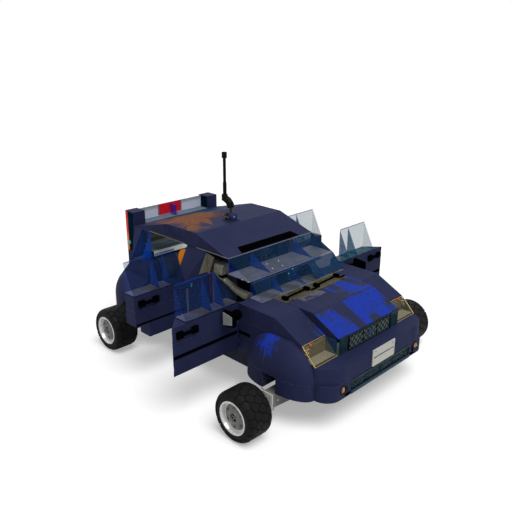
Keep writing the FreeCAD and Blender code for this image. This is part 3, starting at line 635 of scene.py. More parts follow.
# The grille panel's colour is painted light: far lighter than its own dark teal, standing for
# light in its shaded recess.
dress(mottled("grille_back", (96, 116, 116), 0.3, rough=0.6), "grille")
dress(mottled("tyre_rubber", (17, 17, 17), 0.2, 20.0, 0.5, rough=0.62, spec=0.35),
      *having("tyre"))
dress(mottled("dash_plastic", (62, 60, 48), 0.3, rough=0.65, spec=0.15), "dashboard")
dress(mottled("cowl_olive", (74, 70, 52), 0.35, 5.0, 0.2, rough=0.6), "cowl")
plate_white = mottled("plate_white", (188, 188, 182), 0.08, 30.0, 0.2, rough=0.45)
dress(plate_white, "number_plates")
silver = mottled("machined_silver", (222, 222, 222), 0.12, 30.0, 0.1, rough=0.25, metal=0.35)
dress(silver, *having("rim"))
gloss_black = mottled("gloss_black", (8, 8, 9), 0.3, 40.0, 0.05, rough=0.2, spec=0.15)
teal_glass = mottled("teal_glass", (16, 46, 58), 0.3, rough=0.12, alpha=0.75)
bare_metal = mottled("bare_metal", (150, 149, 143), 0.2, rough=0.4, metal=0.35)
red_lens = mottled("red_lens", (224, 42, 38), 0.15, 30.0, 0.1, rough=0.2)
cyan = mottled("cyan_marker", (40, 200, 215), 0.1, 30.0, 0.1, rough=0.2)
white_dot = mottled("white_marker", (225, 228, 232), 0.05, 30.0, 0.1, rough=0.25)

# %% [markdown]
# ## Grille
#
# Between the headlamps sits a black lattice over a dark panel, with a plain teal plate at
# each end. The panel is painted much lighter than its own dark teal, as painted light in its
# shaded recess. A lattice could be an image with holes; here it is real bars, made by turning a
# flat grid by 45 degrees, trimming it to the opening and giving its edges thickness with
# the Wireframe modifier.

# %% Grille
NOSE_Y = -1.8
low_z, high_z = grid(0, 0, 2.06).z, grid(0, 0, 2.93).z
square = primitive(bpy.ops.mesh.primitive_grid_add, "grille_square", x_subdivisions=12,
                   y_subdivisions=12, size=0.66, location=(0, NOSE_Y - 0.008, 0.87),
                   rotation=(math.radians(90), math.radians(45), 0))
parts = []
for middle in (-0.275, 0, 0.275):
    parts.append(shifted(square, "grille_part", (middle, 0, 0)))
    for side in (1, -1):
        slice_off(parts[-1], (middle + 0.1375 * side, 0, 0), (side, 0, 0), fill=False)
bpy.data.objects.remove(square)
lattice = joined("grille_lattice", parts)
for height, side in ((high_z, 1), (low_z, -1)):
    slice_off(lattice, (0, 0, height), (0, 0, side), fill=False)
modify(outward(lattice), "WIREFRAME", thickness=0.011, use_even_offset=False)
fitted(lattice, gloss_black)
frame_bar = block("grille_frame", (-0.42, NOSE_Y - 0.016, low_z - 0.008),
                  (0.42, NOSE_Y + 0.001, high_z + 0.008))
inset(frame_bar, lambda centre, normal: abs(normal.y) > 0.9, (0.009, 0))
edit(frame_bar, lambda centre, normal: abs(normal.y) > 0.9 and abs(centre.x) < 0.01,
     (bpy.ops.mesh.bridge_edge_loops, {}))
fitted(soften(frame_bar, 0.002), gloss_black)
both_sides(panel("right_grille_plate", (-0.592, NOSE_Y - 0.008, low_z - 0.01),
                 (-0.43, NOSE_Y + 0.001, high_z + 0.03), "-y", 0.01, -0.003, 0.002),
           teal_glass)
fitted(panel("grille_centre_square", (-0.030, NOSE_Y - 0.022, 0.856),
             (0.050, NOSE_Y - 0.012, 0.904), "-y", 0.008, -0.003),
       mottled("pale_blue_enamel", (46, 72, 130), 0.2, 20.0, rough=0.35))
print("lattice faces", len(lattice.data.polygons))

# %% [markdown]
# ## Headlamps
#
# Each headlamp is a clear wedge with a beige edging. Inside are a pale tray, a darker back
# plate, a cluster of bulbs in the outer corner and an orange indicator next to it. The tray
# and the back plate are one liner, painted lighter on the tray and darker on the back as
# painted light and painted shade. The edging follows five of the wedge's edges as thin
# rods, and the grille's flank closes the gap beside the lamp.

# %% Headlamps
outer, inner, front, rear, low, high = -0.996, -0.606, -1.796, -1.606, 0.783, 0.972
corners = ((outer, front, low), (outer, rear, high), (inner, rear, high), (inner, rear, low),
           (inner, front, low), (outer, front, low))
edging = joined("right_headlamp_edging", [
    drum("edge", start, end, radius, 6) for start, end, radius in
    zip(corners, corners[1:], (0.006, 0.0035, 0.003, 0.0045, 0.0035))])
both_sides(edging, mottled("gold_edging", (176, 152, 92), 0.2, 40.0, rough=0.35, metal=0.3))
both_sides(panel("right_grille_cheek", (-0.6050, -1.772, 0.785), (-0.599, -1.612, 0.970), "-x",
                 0.01, -0.001, 0.001),
           mottled("cheek_blue", (34, 60, 96), 0.2, rough=0.6))
# Painted light and shade: the pale tray is the liner's lit copy, and the darker back plate below
# is its shaded copy.
both_sides(panel("right_headlamp_tray", (-0.984, -1.772, 0.789), (-0.616, -1.612, 0.797), "z",
                 0.012, -0.003, 0.001), mottled("lamp_tray", (134, 130, 112), 0.12))
back = block("right_headlamp_back", (-0.984, -1.611, 0.80), (-0.616, -1.603, 0.955))
inset(back, "-y", (0.012, 0))
pull(back, lambda centre, normal: normal.y < -0.9 and abs(centre.x + 0.8) < 0.01,
     (0, -0.02, -0.01), 0.9)
both_sides(soften(back, 0.002), mottled("lamp_back", (84, 78, 66), 0.15))


def bulb(name, centre, radius):
    """A glass dome in a short socket, facing forwards."""
    x, y, z = centre
    dome = shift(ball(name, centre, radius), lambda co: co.y < y - radius * 0.3,
                 (0, -radius * 0.4, 0))
    socket = drum(name + "_socket", centre, (x, -1.612, z), radius * 0.8, 16)
    return joined(name, [dome, inset(socket, "-y", (radius * 0.2, -0.004))])


cluster = joined("right_headlamp_bulbs", [bulb("bulb", centre, radius) for centre, radius in (
    ((-0.962, -1.645, 0.925), 0.008), ((-0.936, -1.640, 0.93), 0.009),
    ((-0.955, -1.66, 0.895), 0.009), ((-0.968, -1.66, 0.868), 0.007))])
both_sides(smooth(cluster), mottled("bulb_gold", (178, 160, 122), 0.3, 60.0, rough=0.3))
indicator = bulb("right_headlamp_indicator", (-0.888, -1.628, 0.953), 0.010)
shift(indicator, lambda co: co.z > 0.953, (0, 0, 0.010))
both_sides(smooth(indicator), mottled("indicator_orange", (245, 96, 20), 0.1, rough=0.25))

# %% [markdown]
# ## Bumper
#
# The intake is a strip of dark teal glass with level slats and triangular webs behind it.
# Round fog lamps sit outside it, each a domed lens in a deep ring over a black bracket, and
# a bare plate hangs in the middle.

# %% Intake
slat = block("intake_slats", (-0.596, -1.972, 0.426), (0.596, -1.93, 0.430))
repeat(shift(slat, lambda co: co.y > -1.95, (0, 0, 0.006)), 7, (0, 0, 0.016))
slat_teal = mottled("slat_teal", (40, 62, 72), 0.3)
fitted(slat, slat_teal)
webs = []
for start in (-0.52, -0.24, 0.02, 0.30):
    web = block("intake_web", (start, -1.979, 0.419), (start + 0.2, -1.974, 0.537))
    shift(web, lambda co: co.x < start + 0.01 and co.z > 0.5, (0.19, 0, 0))
    webs.append(soften(web, 0.001, 1))
fitted(joined("intake_webs", webs), mottled("pale_teal", (112, 134, 134), 0.2, rough=0.3))
skirt = inset(block("intake_skirt", (-0.6, -2.0115, 0.382), (0.6, -2.0050, 0.420)), "-y",
              (0.003, -0.001))
brow = block("intake_brow", (-0.6, -2.0115, 0.538), (0.6, -2.0050, 0.556))
fitted(soften(joined("intake_skirt", [skirt, brow]), 0.001), slat_teal)
fitted(bar("intake_lip", (-0.6, -2.002, 0.540), (0.6, -1.975, 0.546), 0.001),
       mottled("lip_beige", (128, 124, 104), 0.15))

# %% Fog lamps
FOG = Vector((-0.738, -2.0, 0.490))
ring = drum("right_fog_ring", FOG + Vector((0, 0.02, 0)), FOG - Vector((0, 0.010, 0)), 0.060)
inset(ring, "-y", (0.012, 0))
pull(ring, lambda centre, normal: normal.y < -0.9 and (centre - FOG).length < 0.02,
     (0, 0.018, 0), 0.92)
both_sides(smooth(soften(ring, 0.0015)), mottled("ring_olive", (30, 28, 18), 0.4, 30.0, rough=0.4))
dome = ball("right_fog_dome", FOG + Vector((-0.012, 0.026, 0)), 0.044, 24, 16)
slice_off(dome, FOG + Vector((0, 0.02, 0)), (0, 1, 0))
both_sides(smooth(dome), mottled("fog_lens", (160, 124, 98), 0.7, 60.0, 0.3, rough=0.3))
bracket = block("right_fog_bracket", (-0.712, -2.010, 0.396), (-0.632, -1.97, 0.424))
shift(bracket, lambda co: co.z > 0.4, (0.01, 0, 0))
both_sides(soften(bracket, 0.004), black)

# %% Plates
for name, way, side in (("front_plate", "-y", -1), ("rear_plate", "y", 1)):
    y = 2.012 * side
    near_y, far_y = sorted((y - 0.008 * side, y + 0.006 * side))
    rim_bar = block(name + "_rim", (-0.224, near_y, 0.574), (0.224, far_y, 0.782))
    inset(rim_bar, way, (0.016, 0))
    pull(rim_bar, lambda centre, normal: normal.y * side > 0.9 and abs(centre.x) < 0.01,
         (0, -0.004 * side, 0))
    fitted(soften(rim_bar, 0.002), plate_white)
    y += 0.003 * side
    rib = bar(name + "_rib", (-0.206, y - 0.002, 0.676), (0.206, y + 0.002, 0.684), 0.0008)
    bolts = [drum("bolt", (x, y - 0.003 * side, 0.752), (x, y + 0.003 * side, 0.752), 0.007, 6)
             for x in (-0.17, 0.17)]
    fitted(joined(name + "_rib", [rib] + bolts), black)

# %% [markdown]
# ## Wipers and cowl
#
# Each wiper is a dark bar with a heavy, blunt knuckle at both ends, and a short link joins
# the pair to the cowl. The cowl below them is worn olive metal with a lighter front edge.

# %% Wipers and cowl
def bone(name, start, end, height=0.020):
    """A bar between two knuckled ends."""
    start, end, half = Vector(start), Vector(end), Vector((0, 0, height * 0.8))
    parts = [drum("bar", start, end, height * 0.62, 8)]
    for tip, inward in ((start, 1), (end, -1)):
        for side in (-1, 1):
            middle = tip + Vector((0.022 * inward, 0.016 * side, 0))
            parts.append(drum("knuckle", middle - half, middle + half, 0.034, 10))
    return joined(name, [soften(part, 0.003, 1) for part in parts])


wipers = joined("wiper_pair", [
    bone("right_wiper", (-0.555, -0.925, 1.197), (-0.090, -0.905, 1.197)),
    bone("left_wiper", (0.035, -0.925, 1.197), (0.530, -0.890, 1.197)),
    bar("link", (-0.095, -0.975, 1.184), (0.020, -0.955, 1.198)),
    bar("link", (0.50, -0.965, 1.184), (0.60, -0.945, 1.198))])
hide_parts("wipers")
fitted(wipers, black)
fitted(bar("cowl_edge", (-0.60, -1.010, 1.175), (0.60, -1.002, 1.182), 0.002),
       mottled("cowl_edge", (78, 72, 40), 0.4, 20.0))
for x in (-0.38, -0.2, 0.14, 0.34):
    fitted(panel("cowl_vent", (x, -0.86, 1.174), (x + 0.12, -0.83, 1.181), "z", 0.006, -0.004,
                 0.001), black)

# %% [markdown]
# ## Tyres
#
# The tyre is wide and soft, with four rows of heavy blocks laid like a honeycomb: the
# grooves of each row stand half a block away from those of the row beside it. A bump
# map could draw the blocks, but their notches show against the floor, so they are real.
# A flat grid is wrapped round the tyre's profile, and then the faces between the grooves
# are extruded outwards and their edges bevelled.

# %% Tyre carcass
WHEEL = Vector((-1.623, -1.324, 0.300))
BLOCKS = 18
ROWS = (-0.04, 0.04, 0.25, 0.46, 0.54, 0.75)


def away(turn):
    """Distance from the nearest whole pitch, from 0 to 0.5."""
    return abs((turn + 0.5) % 1.0 - 0.5)


def grooves(turn):
    """The three zigzag grooves, as places across the tyre."""
    wave = 1 - 2 * min(1.0, max(0.0, (away(turn) - 0.04) / 0.42))
    return -0.088 - 0.014 * wave, 0.022 * wave, 0.088 - 0.014 * wave


def profile(turn):
    """Places across the tyre and their radii, at a share of one block's pitch."""
    edge = [(0.112 + 0.056 * math.sin(math.radians(a)), 0.232 + 0.056 * math.cos(math.radians(a)))
            for a in (0, 25, 50, 72, 90)] + [(0.170, 0.214), (0.167, 0.199), (0.150, 0.1965)]
    crown = [(place + side, 0.288) for place in grooves(turn) for side in (-0.0045, 0.0045)]
    return [(-x, r) for x, r in reversed(edge)] + crown + edge


tyre = primitive(bpy.ops.mesh.primitive_grid_add, "right_front_tyre_tread", x_subdivisions=21,
                 y_subdivisions=BLOCKS * len(ROWS), size=1)
for index, vertex in enumerate(tyre.data.vertices):
    row, column = divmod(index, 22)
    turn = row // len(ROWS) + ROWS[row % len(ROWS)]
    x, radius = profile(turn)[column]
    angle = 2 * math.pi * turn / BLOCKS
    vertex.co = WHEEL + Vector((x, radius * math.cos(angle), radius * math.sin(angle)))
edit(tyre, None, (bpy.ops.mesh.remove_doubles, {"threshold": 0.0003}),
     (bpy.ops.mesh.select_all, {"action": "DESELECT"}), (bpy.ops.mesh.select_non_manifold, {}),
     (bpy.ops.mesh.bridge_edge_loops, {}), kind="VERT")
outward(tyre)
print("carcass faces", len(tyre.data.polygons))


# %% Tread blocks
def is_block(centre, normal):
    """True for a face between the grooves."""
    spot = centre - WHEEL
    turn = math.atan2(spot.z, spot.y) / (2 * math.pi) * BLOCKS
    gaps = [spot.x - place for place in grooves(turn)]
    if math.hypot(spot.y, spot.z) < 0.243 or min(map(abs, gaps)) < 0.003:
        return False
    return away(turn) < 0.46 if sum(gap > 0 for gap in gaps) % 2 else away(turn) > 0.04


edit(tyre, is_block,
     (bpy.ops.mesh.extrude_region_shrink_fatten, {"TRANSFORM_OT_shrink_fatten": {"value": 0.012}}),
     (bpy.ops.mesh.region_to_loop, {}), (bpy.ops.mesh.bevel, {"offset": 0.0035, "segments": 1}))
outward(tyre)
print("tyre faces", len(tyre.data.polygons))

# %% [markdown]
# ## Rims
#
# The rim is a machined dish: a flat lip flush with the tyre, a deep wall, and a cone that
# rises to the hub. It starts as a drum, and one face is inset again and again, each time
# with its own depth. Dark holes, a black hub cup with light marks and a ring of notches
# are separate.

# %% Rim pieces
def peg(name, reach, degrees, near, far, radius, sides):
    """A drum along the axle, on a circle round it."""
    angle = math.radians(degrees)
    spot = WHEEL + Vector((0, reach * math.cos(angle), reach * math.sin(angle)))
    return drum(name, spot - Vector((near, 0, 0)), spot - Vector((far, 0, 0)), radius, sides)


rim = smooth(inset(peg("right_front_rim_face", 0, 0, 0.112, 0.168, 0.192, 64), "-x",
                   (0.003, 0.003), (0.010, 0.0), (0.003, -0.006), (0.012, -0.044),
                   (0.010, 0.0)))
cone = smooth(inset(peg("right_front_rim_cone", 0, 0, 0.100, 0.124, 0.150, 48), "-x",
                    (0.004, 0.003), (0.074, 0.018), (0.004, 0.006), (0.020, 0.0),
                    (0.003, -0.024)))
dark_parts = joined("right_front_rim_dark", [
    inset(peg("rim_hole", 0.112, 30 + 60 * step, 0.11, 0.139, 0.015, 12), "-x", (0.003, -0.012))
    for step in range(6)] + [
    peg("rim_notch", 0.186, 7.5 + 15 * step, 0.15, 0.1705, 0.004, 8) for step in range(24)] + [
    peg("hub_cup", 0, 0, 0.10, 0.134, 0.042, 24)])
marks = []
for degrees in (20, 110, 200, 290):
    angle = math.radians(degrees)
    centre, along = WHEEL - Vector((0.137, 0, 0)), Vector((0, math.cos(angle), math.sin(angle)))
    marks.append(soften(drum("hub_mark", centre + along * 0.012, centre + along * 0.034, 0.006, 8),
                        0.002))
light_parts = joined("right_front_hub_marks", marks + [
    peg("hub_bolt", 0, 0, 0.12, 0.142, 0.009, 6)])
print("rim faces", len(rim.data.polygons), "and cone faces", len(cone.data.polygons))


# %% Four wheels
def four_wheels(piece, finish, part):
    """Put a copy of a right front wheel piece on all four wheels."""
    for body, move in (("right_front_wheel", (0, 0, 0)), ("right_rear_wheel", (0.195, 2.778, 0))):
        twins = both_sides(shifted(piece, f"{body.replace('_wheel', '')}_{part}", move), finish,
                           body)
        if part == "tyre_tread":
            for twin, side in zip(twins, ("right", "left")):
                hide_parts(body.replace("_wheel", "_tyre").replace("right", side))
    bpy.data.objects.remove(piece)


four_wheels(tyre, mottled("tread_rubber", (21, 21, 21), 0.25, 20.0, 0.4, spec=0.08), "tyre_tread")
four_wheels(rim, silver, "rim_face")
four_wheels(cone, mottled("cone_grey", (118, 118, 116), 0.2, 30.0, rough=0.4, metal=0.2),
            "rim_cone")
four_wheels(dark_parts, black, "rim_dark")
four_wheels(light_parts, bare_metal, "hub_marks")

# %% [markdown]
# ## Wheel arms
#
# Each front arm ends in a square light-grey frame plate with a sunken panel and a small
# cyan marker. The arm behind it is a square olive-grey beam with a round boss.

# %% Arm plates
def centre_of_plate(centre, normal):
    return normal.x < -0.9 and abs(centre.y + 1.324) < 0.02 and abs(centre.z - 0.3) < 0.02


plate = block("right_arm_plate", (-1.274, -1.424, 0.200), (-1.262, -1.224, 0.400))
inset(plate, "-x", (0.011, 0))
inset(plate, centre_of_plate, (0.003, -0.005), (0.013, 0.006))
pull(plate, centre_of_plate, (0.009, 0, 0), 0.96)
# The plate's near-white is painted light: it is lighter than the plate's own light grey, standing
# for light under the wheel arch.
both_sides(soften(plate, 0.003), mottled("pale_metal", (222, 222, 220), 0.1, rough=0.45))
both_sides(inset(block("right_arm_panel", (-1.2665, -1.39, 0.234), (-1.264, -1.258, 0.366)), "-x",
                 (0.03, -0.001)), mottled("arm_panel", (196, 195, 190), 0.2))
dot = drum("right_arm_marker", (-1.264, -1.388, 0.276), (-1.274, -1.388, 0.276), 0.009, 16)
both_sides(soften(dot, 0.002), cyan)
boss = drum("right_arm_boss", (-1.18, -1.424, 0.30), (-1.18, -1.430, 0.30), 0.009, 16)
both_sides(soften(inset(boss, "-y", (0.003, -0.002)), 0.001), white_dot)

# %% [markdown]
# ## Doors and pillars
#
# A black moulding runs along the doors and on to the fender. The doors end in pillars whose
# faces slant, and the latch strips, markers and trim sit on those. The mirror's pale glass
# narrows forwards and sits in a thick black rim with a round joint behind it.

# %% Mouldings
for name, low, high, body in (
        ("right_front_door_strip", (-1.984, -0.606, 0.790), (-1.03, -0.598, 0.829),
         "right_front_door"),
        ("right_rear_door_strip", (-1.785, 0.394, 0.786), (-1.03, 0.402, 0.809),
         "right_rear_door"),
        ("right_fender_strip", (-1.006, -0.80, 0.790), (-0.998, -0.612, 0.829), "body")):
    both_sides(bar(name, low, high), black, body)


# %% Mirrors
def wing(name, low, high, drop, rise):
    """A block whose forward side is cut down at the top and raised at the bottom."""
    piece = block(name, low, high)
    middle, level = (low[1] + high[1]) / 2, (low[2] + high[2]) / 2
    shift(piece, lambda co: co.y < middle and co.z > level, (0, 0, -drop))
    return shift(piece, lambda co: co.y < middle and co.z < level, (0, 0, rise))


glass = wing("right_front_mirror_glass", (-1.296, -0.798, 1.006), (-1.286, -0.650, 1.170), 0.022,
             0.038)
both_sides(soften(inset(glass, "-x", (0.005, -0.001)), 0.0015),
           mottled("mirror_glass", (158, 160, 158), 0.08, 30.0, 0.05, rough=0.12, metal=0.25),
           "right_front_door")
shell = wing("right_front_mirror_shell", (-1.290, -0.820, 0.988), (-1.236, -0.632, 1.186), 0.020,
             0.034)
shell = smooth(soften(inset(shell, "-x", (0.006, -0.002)), 0.016, 4))
stalk = smooth(soften(drum("stalk", (-1.24, -0.730, 1.110), (-1.14, -0.60, 1.10), 0.022, 20),
                      0.004))
knob = smooth(ball("knob", (-1.165, -0.745, 1.126), 0.064, 24, 16))
mirror = joined("right_front_mirror_body", [shell, knob, stalk])
for whole, side in zip(both_sides(mirror, black, "right_front_door"),
                       ("right", "left")):
    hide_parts(side + "_front_door_mirror")

# %% Inside of the doors
card_finish = mottled("door_card", (52, 55, 66), 0.2, 9.0, 0.4, rough=0.75)
for door, x_far, y_in in (("right_front_door", -1.74, -0.40), ("right_rear_door", -1.56, 0.60)):
    card = block(door + "_card", (x_far, y_in - 0.004, 0.70), (-1.10, y_in + 0.006, 1.12))
    inset(card, "y", (0.035, 0.003))
    inset(card, lambda c, n: n.y > 0.9 and abs(c.x - (x_far - 1.10) / 2) < 0.05, (0.02, -0.003))
    both_sides(soften(card, 0.004), card_finish, door)
    rest = block(door + "_armrest", (x_far + 0.12, y_in, 0.86), (-1.24, y_in + 0.045, 0.90))
    shift(rest, lambda co: co.y > y_in + 0.02 and co.z < 0.88, (0, -0.012, 0.006))
    both_sides(soften(rest, 0.01, 3), black, door)
    release = drum(door + "_release", (x_far + 0.06, y_in + 0.004, 1.03),
                   (x_far + 0.06, y_in + 0.016, 1.03), 0.026, 20)
    both_sides(soften(inset(release, "y", (0.006, -0.004)), 0.002), bare_metal, door)


# %% Latch strips and markers on the slanted pillar face
def stud(name, x, y, z):
    """A short drum that stands on the slanted face."""
    return drum(name, (x, y, z), Vector((x, y, z)) + Vector((-1, -1, 0)).normalized() * 0.003,
                0.010, 16)


latch = block("right_latch_strip", (-0.012, -0.002, 0.708), (0.012, 0.003, 1.05))
latch.matrix_world = (Matrix.Translation((-0.985, 0.385, 0))
                      @ Matrix.Rotation(math.radians(135), 4, "Z"))
both_sides(soften(settle(latch), 0.001),
           mottled("grey_plastic", (104, 104, 98), 0.15, 20.0, 0.3, rough=0.55))
both_sides(soften(stud("right_latch_tip", -0.985, 0.385, 1.055), 0.001), red_lens)
markers = [stud("marker", -0.944, 0.344, z) for z in (1.134, 1.106)]
both_sides(soften(joined("right_pillar_markers", markers), 0.001), cyan)

# %% Pillar trim
trim = block("right_pillar_trim", (-0.788, 0.066, 1.301), (-0.781, 0.33, 1.560))
shift(trim, lambda co: co.y < 0.1 and co.z < 1.4, (0, 0.094, 0))
shift(trim, lambda co: co.y > 0.3 and co.z > 1.5, (0, -0.10, 0))
shift(trim, lambda co: co.y < 0.1 and co.z > 1.5, (0, 0, -0.030))
wrap = block("trim_wrap", (-0.936, 0.1980, 1.301), (-0.788, 0.2005, 1.555))
shift(wrap, lambda co: co.z > 1.5 and co.x < -0.9, (0.128, 0, 0))
both_sides(soften(joined("right_pillar_trim", [trim, wrap]), 0.003),
           mottled("pillar_trim", (112, 110, 98), 0.15, 20.0, 0.2, rough=0.6))
both_sides(bar("right_trim_edge", (-0.797, 0.150, 1.290), (-0.784, 0.335, 1.302)),
           mottled("burnt_orange", (190, 84, 24), 0.2, 20.0))
both_sides(bar("right_belt", (-0.792, 0.142, 0.98), (-0.788, 0.154, 1.30), 0.001),
           mottled("belt_red", (150, 40, 48), 0.2, 90.0, 0.5, rough=0.8))

# %% [markdown]
# ## Roof
#
# A matt black band lies on the front slope of the roof. A bead with tiny gaps runs along
# its lower side edges. Both are thin bars; the band's corners are moved on to the slope,
# and the bead is one short bar repeated by the Array modifier.

# %% Black band and beads
RISE = 0.124 / 3
band = block("roof_band", (-0.536, -0.182, 1.582), (0.562, -0.058, 1.587))
shift(band, lambda co: co.y > -0.1, (0, 0, RISE))
shift(band, lambda co: co.y > -0.1 and co.x < 0, (0.04, 0, 0))
shift(band, lambda co: co.y > -0.1 and co.x > 0, (-0.05, 0, 0))
fitted(soften(band, 0.0015), black)
bead_finish = mottled("edge_bead", (150, 145, 122), 0.2, 60.0)
beads = [repeat(bar("bead", (-0.806, start, 1.5840), (-0.797, start + 0.010, 1.5910), 0.002, 1),
                count, (0, 0.015, 0)) for start, count in ((-0.20, 40), (0.64, 52))]
both_sides(joined("right_roof_bead", beads), bead_finish)
fitted(repeat(bar("windshield_bead", (-0.79, -0.205, 1.5755), (-0.780, -0.197, 1.5825), 0.002, 1),
              105, (0.015, 0, 0)), bead_finish)

# %% [markdown]
# ## Light bar
#
# The light bar is a hollow lens between the two posts: a ribbed pane stands at the back, a
# red block shines through its middle, and a blue web stands in front of it. The ribs are
# one thin bar, repeated. The CAD node's solid body would hide all this, so it is replaced.

# %% Light bar
ribbed = Finish("ribbed_pane", rough=0.2, spec=0.2, alpha=0.94)
stripe = (ribbed.z * 90.0).fract()
tint = ribbed.mix(stripe.ramp(0.3, 0.6), srgb(186, 220, 248), srgb(240, 224, 230))
ribbed.put("Base Color", ribbed.mix(ribbed.z.ramp(1.70, 1.76), tint, srgb(140, 150, 158)))
ribbed.bump(stripe, 0.3, 0.002)
pane = panel("light_bar_pane", (-0.592, 1.950, 1.590), (0.592, 1.978, 1.768), "-y", 0.006, -0.002)
rib = bar("rib", (-0.584, 1.947, 1.602), (0.584, 1.953, 1.605), 0.001, 1)
pane = joined("light_bar_pane", [pane, repeat(rib, 9, (0, 0, 0.0175))])
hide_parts("light_bar_lens")
fitted(pane, ribbed)
base = panel("light_bar_tray", (-0.6, 1.80, 1.566), (0.6, 2.010, 1.589), "z", 0.012, -0.004)
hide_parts("light_bar_base")
fitted(base, mottled("bar_base", (96, 116, 132), 0.2, 10.0, 0.1, rough=0.3))
fitted(panel("light_bar_beacon", (-0.240, 1.942, 1.604), (0.176, 1.951, 1.772), "-y", 0.01,
             -0.003),
       mottled("beacon_red", (214, 30, 48), 0.15, 14.0, 0.1, rough=0.2))
web = block("light_bar_web", (-0.026, 1.80, 1.592), (-0.018, 1.942, 1.758))
shift(web, lambda co: co.y < 1.85 and co.z > 1.7, (0, 0, -0.008))
fitted(soften(web, 0.002),
       mottled("beacon_web", (58, 52, 190), 0.15, 14.0, 0.1, rough=0.12, alpha=0.62))
fitted(joined("light_bar_teal_edges", [
    bar("edge", (x, 1.940, 1.604), (x + 0.010, 1.949, 1.764), 0.002) for x in (-0.256, 0.180)]),
       mottled("edge_teal", (70, 140, 140), 0.1, rough=0.3))

# %% Tail lamps and posts
tail = Finish("tail_lamp", rough=0.25, spec=0.3)
tail.put("Base Color", tail.wire.node("ValToRGB", {"stops": (
    (0.0, srgb(240, 150, 30)), (0.35, srgb(240, 120, 30)), (0.5, srgb(235, 40, 34)),
    (1.0, srgb(232, 30, 38)))}, {"Fac": tail.z.ramp(1.178, 1.77)}))
tail.bump(tail.noise(90.0), 0.1, 0.001)
dress(tail, "tail_lamps")
fitted(joined("post_red_edges", [bar("cap", low, high, 0.002) for low, high in (
    ((-0.796, 2.0, 1.770), (-0.604, 2.010, 1.778)), ((0.604, 2.0, 1.770), (0.796, 2.010, 1.778)),
    ((0.590, 1.985, 1.60), (0.598, 2.0, 1.775)), ((-0.598, 1.985, 1.60), (-0.590, 2.0, 1.775)))]),
       red_lens)
post_teal = mottled("post_teal", (2, 32, 50), 0.3, 8.0, 0.1, rough=0.6, spec=0.0)
both_sides(panel("right_post_pane", (-0.803, 1.81, 1.185), (-0.799, 1.945, 1.765), "-x", 0.006,
                 -0.0005, 0.001), post_teal)
both_sides(panel("right_post_inner", (-0.602, 1.81, 1.60), (-0.597, 1.94, 1.768), "x", 0.006,
                 -0.0005, 0.001), post_teal)
both_sides(bar("right_post_flank", (-0.806, 1.95, 1.185), (-0.799, 1.999, 1.768), 0.002), tail)
rays = []
for degrees, length in ((15, 0.034), (80, 0.026), (140, 0.030)):
    ray = alone(block("ray", (-0.808, -length, -0.007), (-0.799, length, 0.007)))
    bpy.ops.transform.rotate(value=math.radians(degrees), orient_axis="X",
                             center_override=(0, 0, 0))
    rays.append(shifted(settle(ray), "ray", (0, 1.935, 1.305)))
    bpy.data.objects.remove(ray)
both_sides(soften(joined("right_post_star", rays), 0.001), cyan)

# %% [markdown]
# ## Aerial
#
# The aerial's foot is a square plate with a half-round housing. Two dark yellow lamps look
# to the side, and a purple ring with a cyan centre looks forwards. A fat elbow cranks back
# to the mast. The CAD node is one thin outline of all this, so these pieces replace it.

# %% Aerial
def upright(name, y, low, high, radius, sides=24):
    """A drum that stands on the car's aerial line."""
    return drum(name, (-0.054, y, low), (-0.054, y, high), radius, sides)


bends = [Vector((-0.054, y, z)) for y, z in (
    (0.536, 1.955), (0.545, 2.00), (0.590, 2.045), (0.645, 2.065))]
elbow = hose("aerial_elbow", bends, 0.2, (0.050,) * 3, 24, 0.005, 6,
             [upright("shoulder", 0.660, 2.035, 2.125, 0.043)])
tip = inset(upright("tip", 0.656, 2.625, 2.705, 0.036), "z", (0.010, -0.010))
aerial = joined("aerial_mast", [elbow] + [smooth(part) for part in (
    upright("mast", 0.656, 2.10, 2.64, 0.021),
    soften(upright("sleeve", 0.656, 2.10, 2.29, 0.026), 0.003), soften(tip, 0.004))])
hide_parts("antenna")
fitted(aerial, mottled("aerial_black", (7, 7, 7), 0.3, 40.0, 0.1, rough=0.4, spec=0.08))
fitted(smooth(soften(upright("aerial_neck", 0.536, 1.880, 1.965, 0.021), 0.003)),
       mottled("neck_olive", (66, 64, 44), 0.3, 30.0, rough=0.4))
housing = drum("aerial_housing", (-0.117, 0.536, 1.832), (0.009, 0.536, 1.832), 0.062, 40)
slice_off(housing, (0, 0, 1.835), (0, 0, -1))
housing = smooth(soften(pull(housing, "-z", (0, 0, -0.046)), 0.004))
foot = panel("aerial_foot", (-0.142, 0.449, 1.777), (0.034, 0.624, 1.791), "z", 0.012, -0.002)
fitted(joined("aerial_housing", [housing, foot]), mottled("foot_grey", (40, 42, 70), 0.2, 20.0))
fitted(smooth(joined("aerial_lamps", [ball("lamp", (-0.117, y, 1.826), 0.015)
                                      for y in (0.574, 0.530)])),
       mottled("lamp_olive", (112, 96, 20), 0.3, 60.0, rough=0.3))
ring = drum("aerial_ring", (-0.058, 0.476, 1.834), (-0.058, 0.468, 1.834), 0.026, 28)
fitted(soften(inset(ring, "-y", (0.010, -0.003)), 0.001),
       mottled("ring_purple", (70, 46, 150), 0.2, 40.0, rough=0.3))
fitted(smooth(ball("aerial_eye", (-0.056, 0.470, 1.834), 0.012)), cyan)

# %% [markdown]
# ## Seats
#
# The seats are foam cushions in grey-blue cloth. A cushion is not a box: its faces swell,
# its sides pull in between the corners, and sewn channels run across it. Cloth simulation
# could inflate it, but the cushions sit deep behind the glass, so here a subdivided cube is
# crowned, a channel at a time, and finished with a Subdivision Surface.

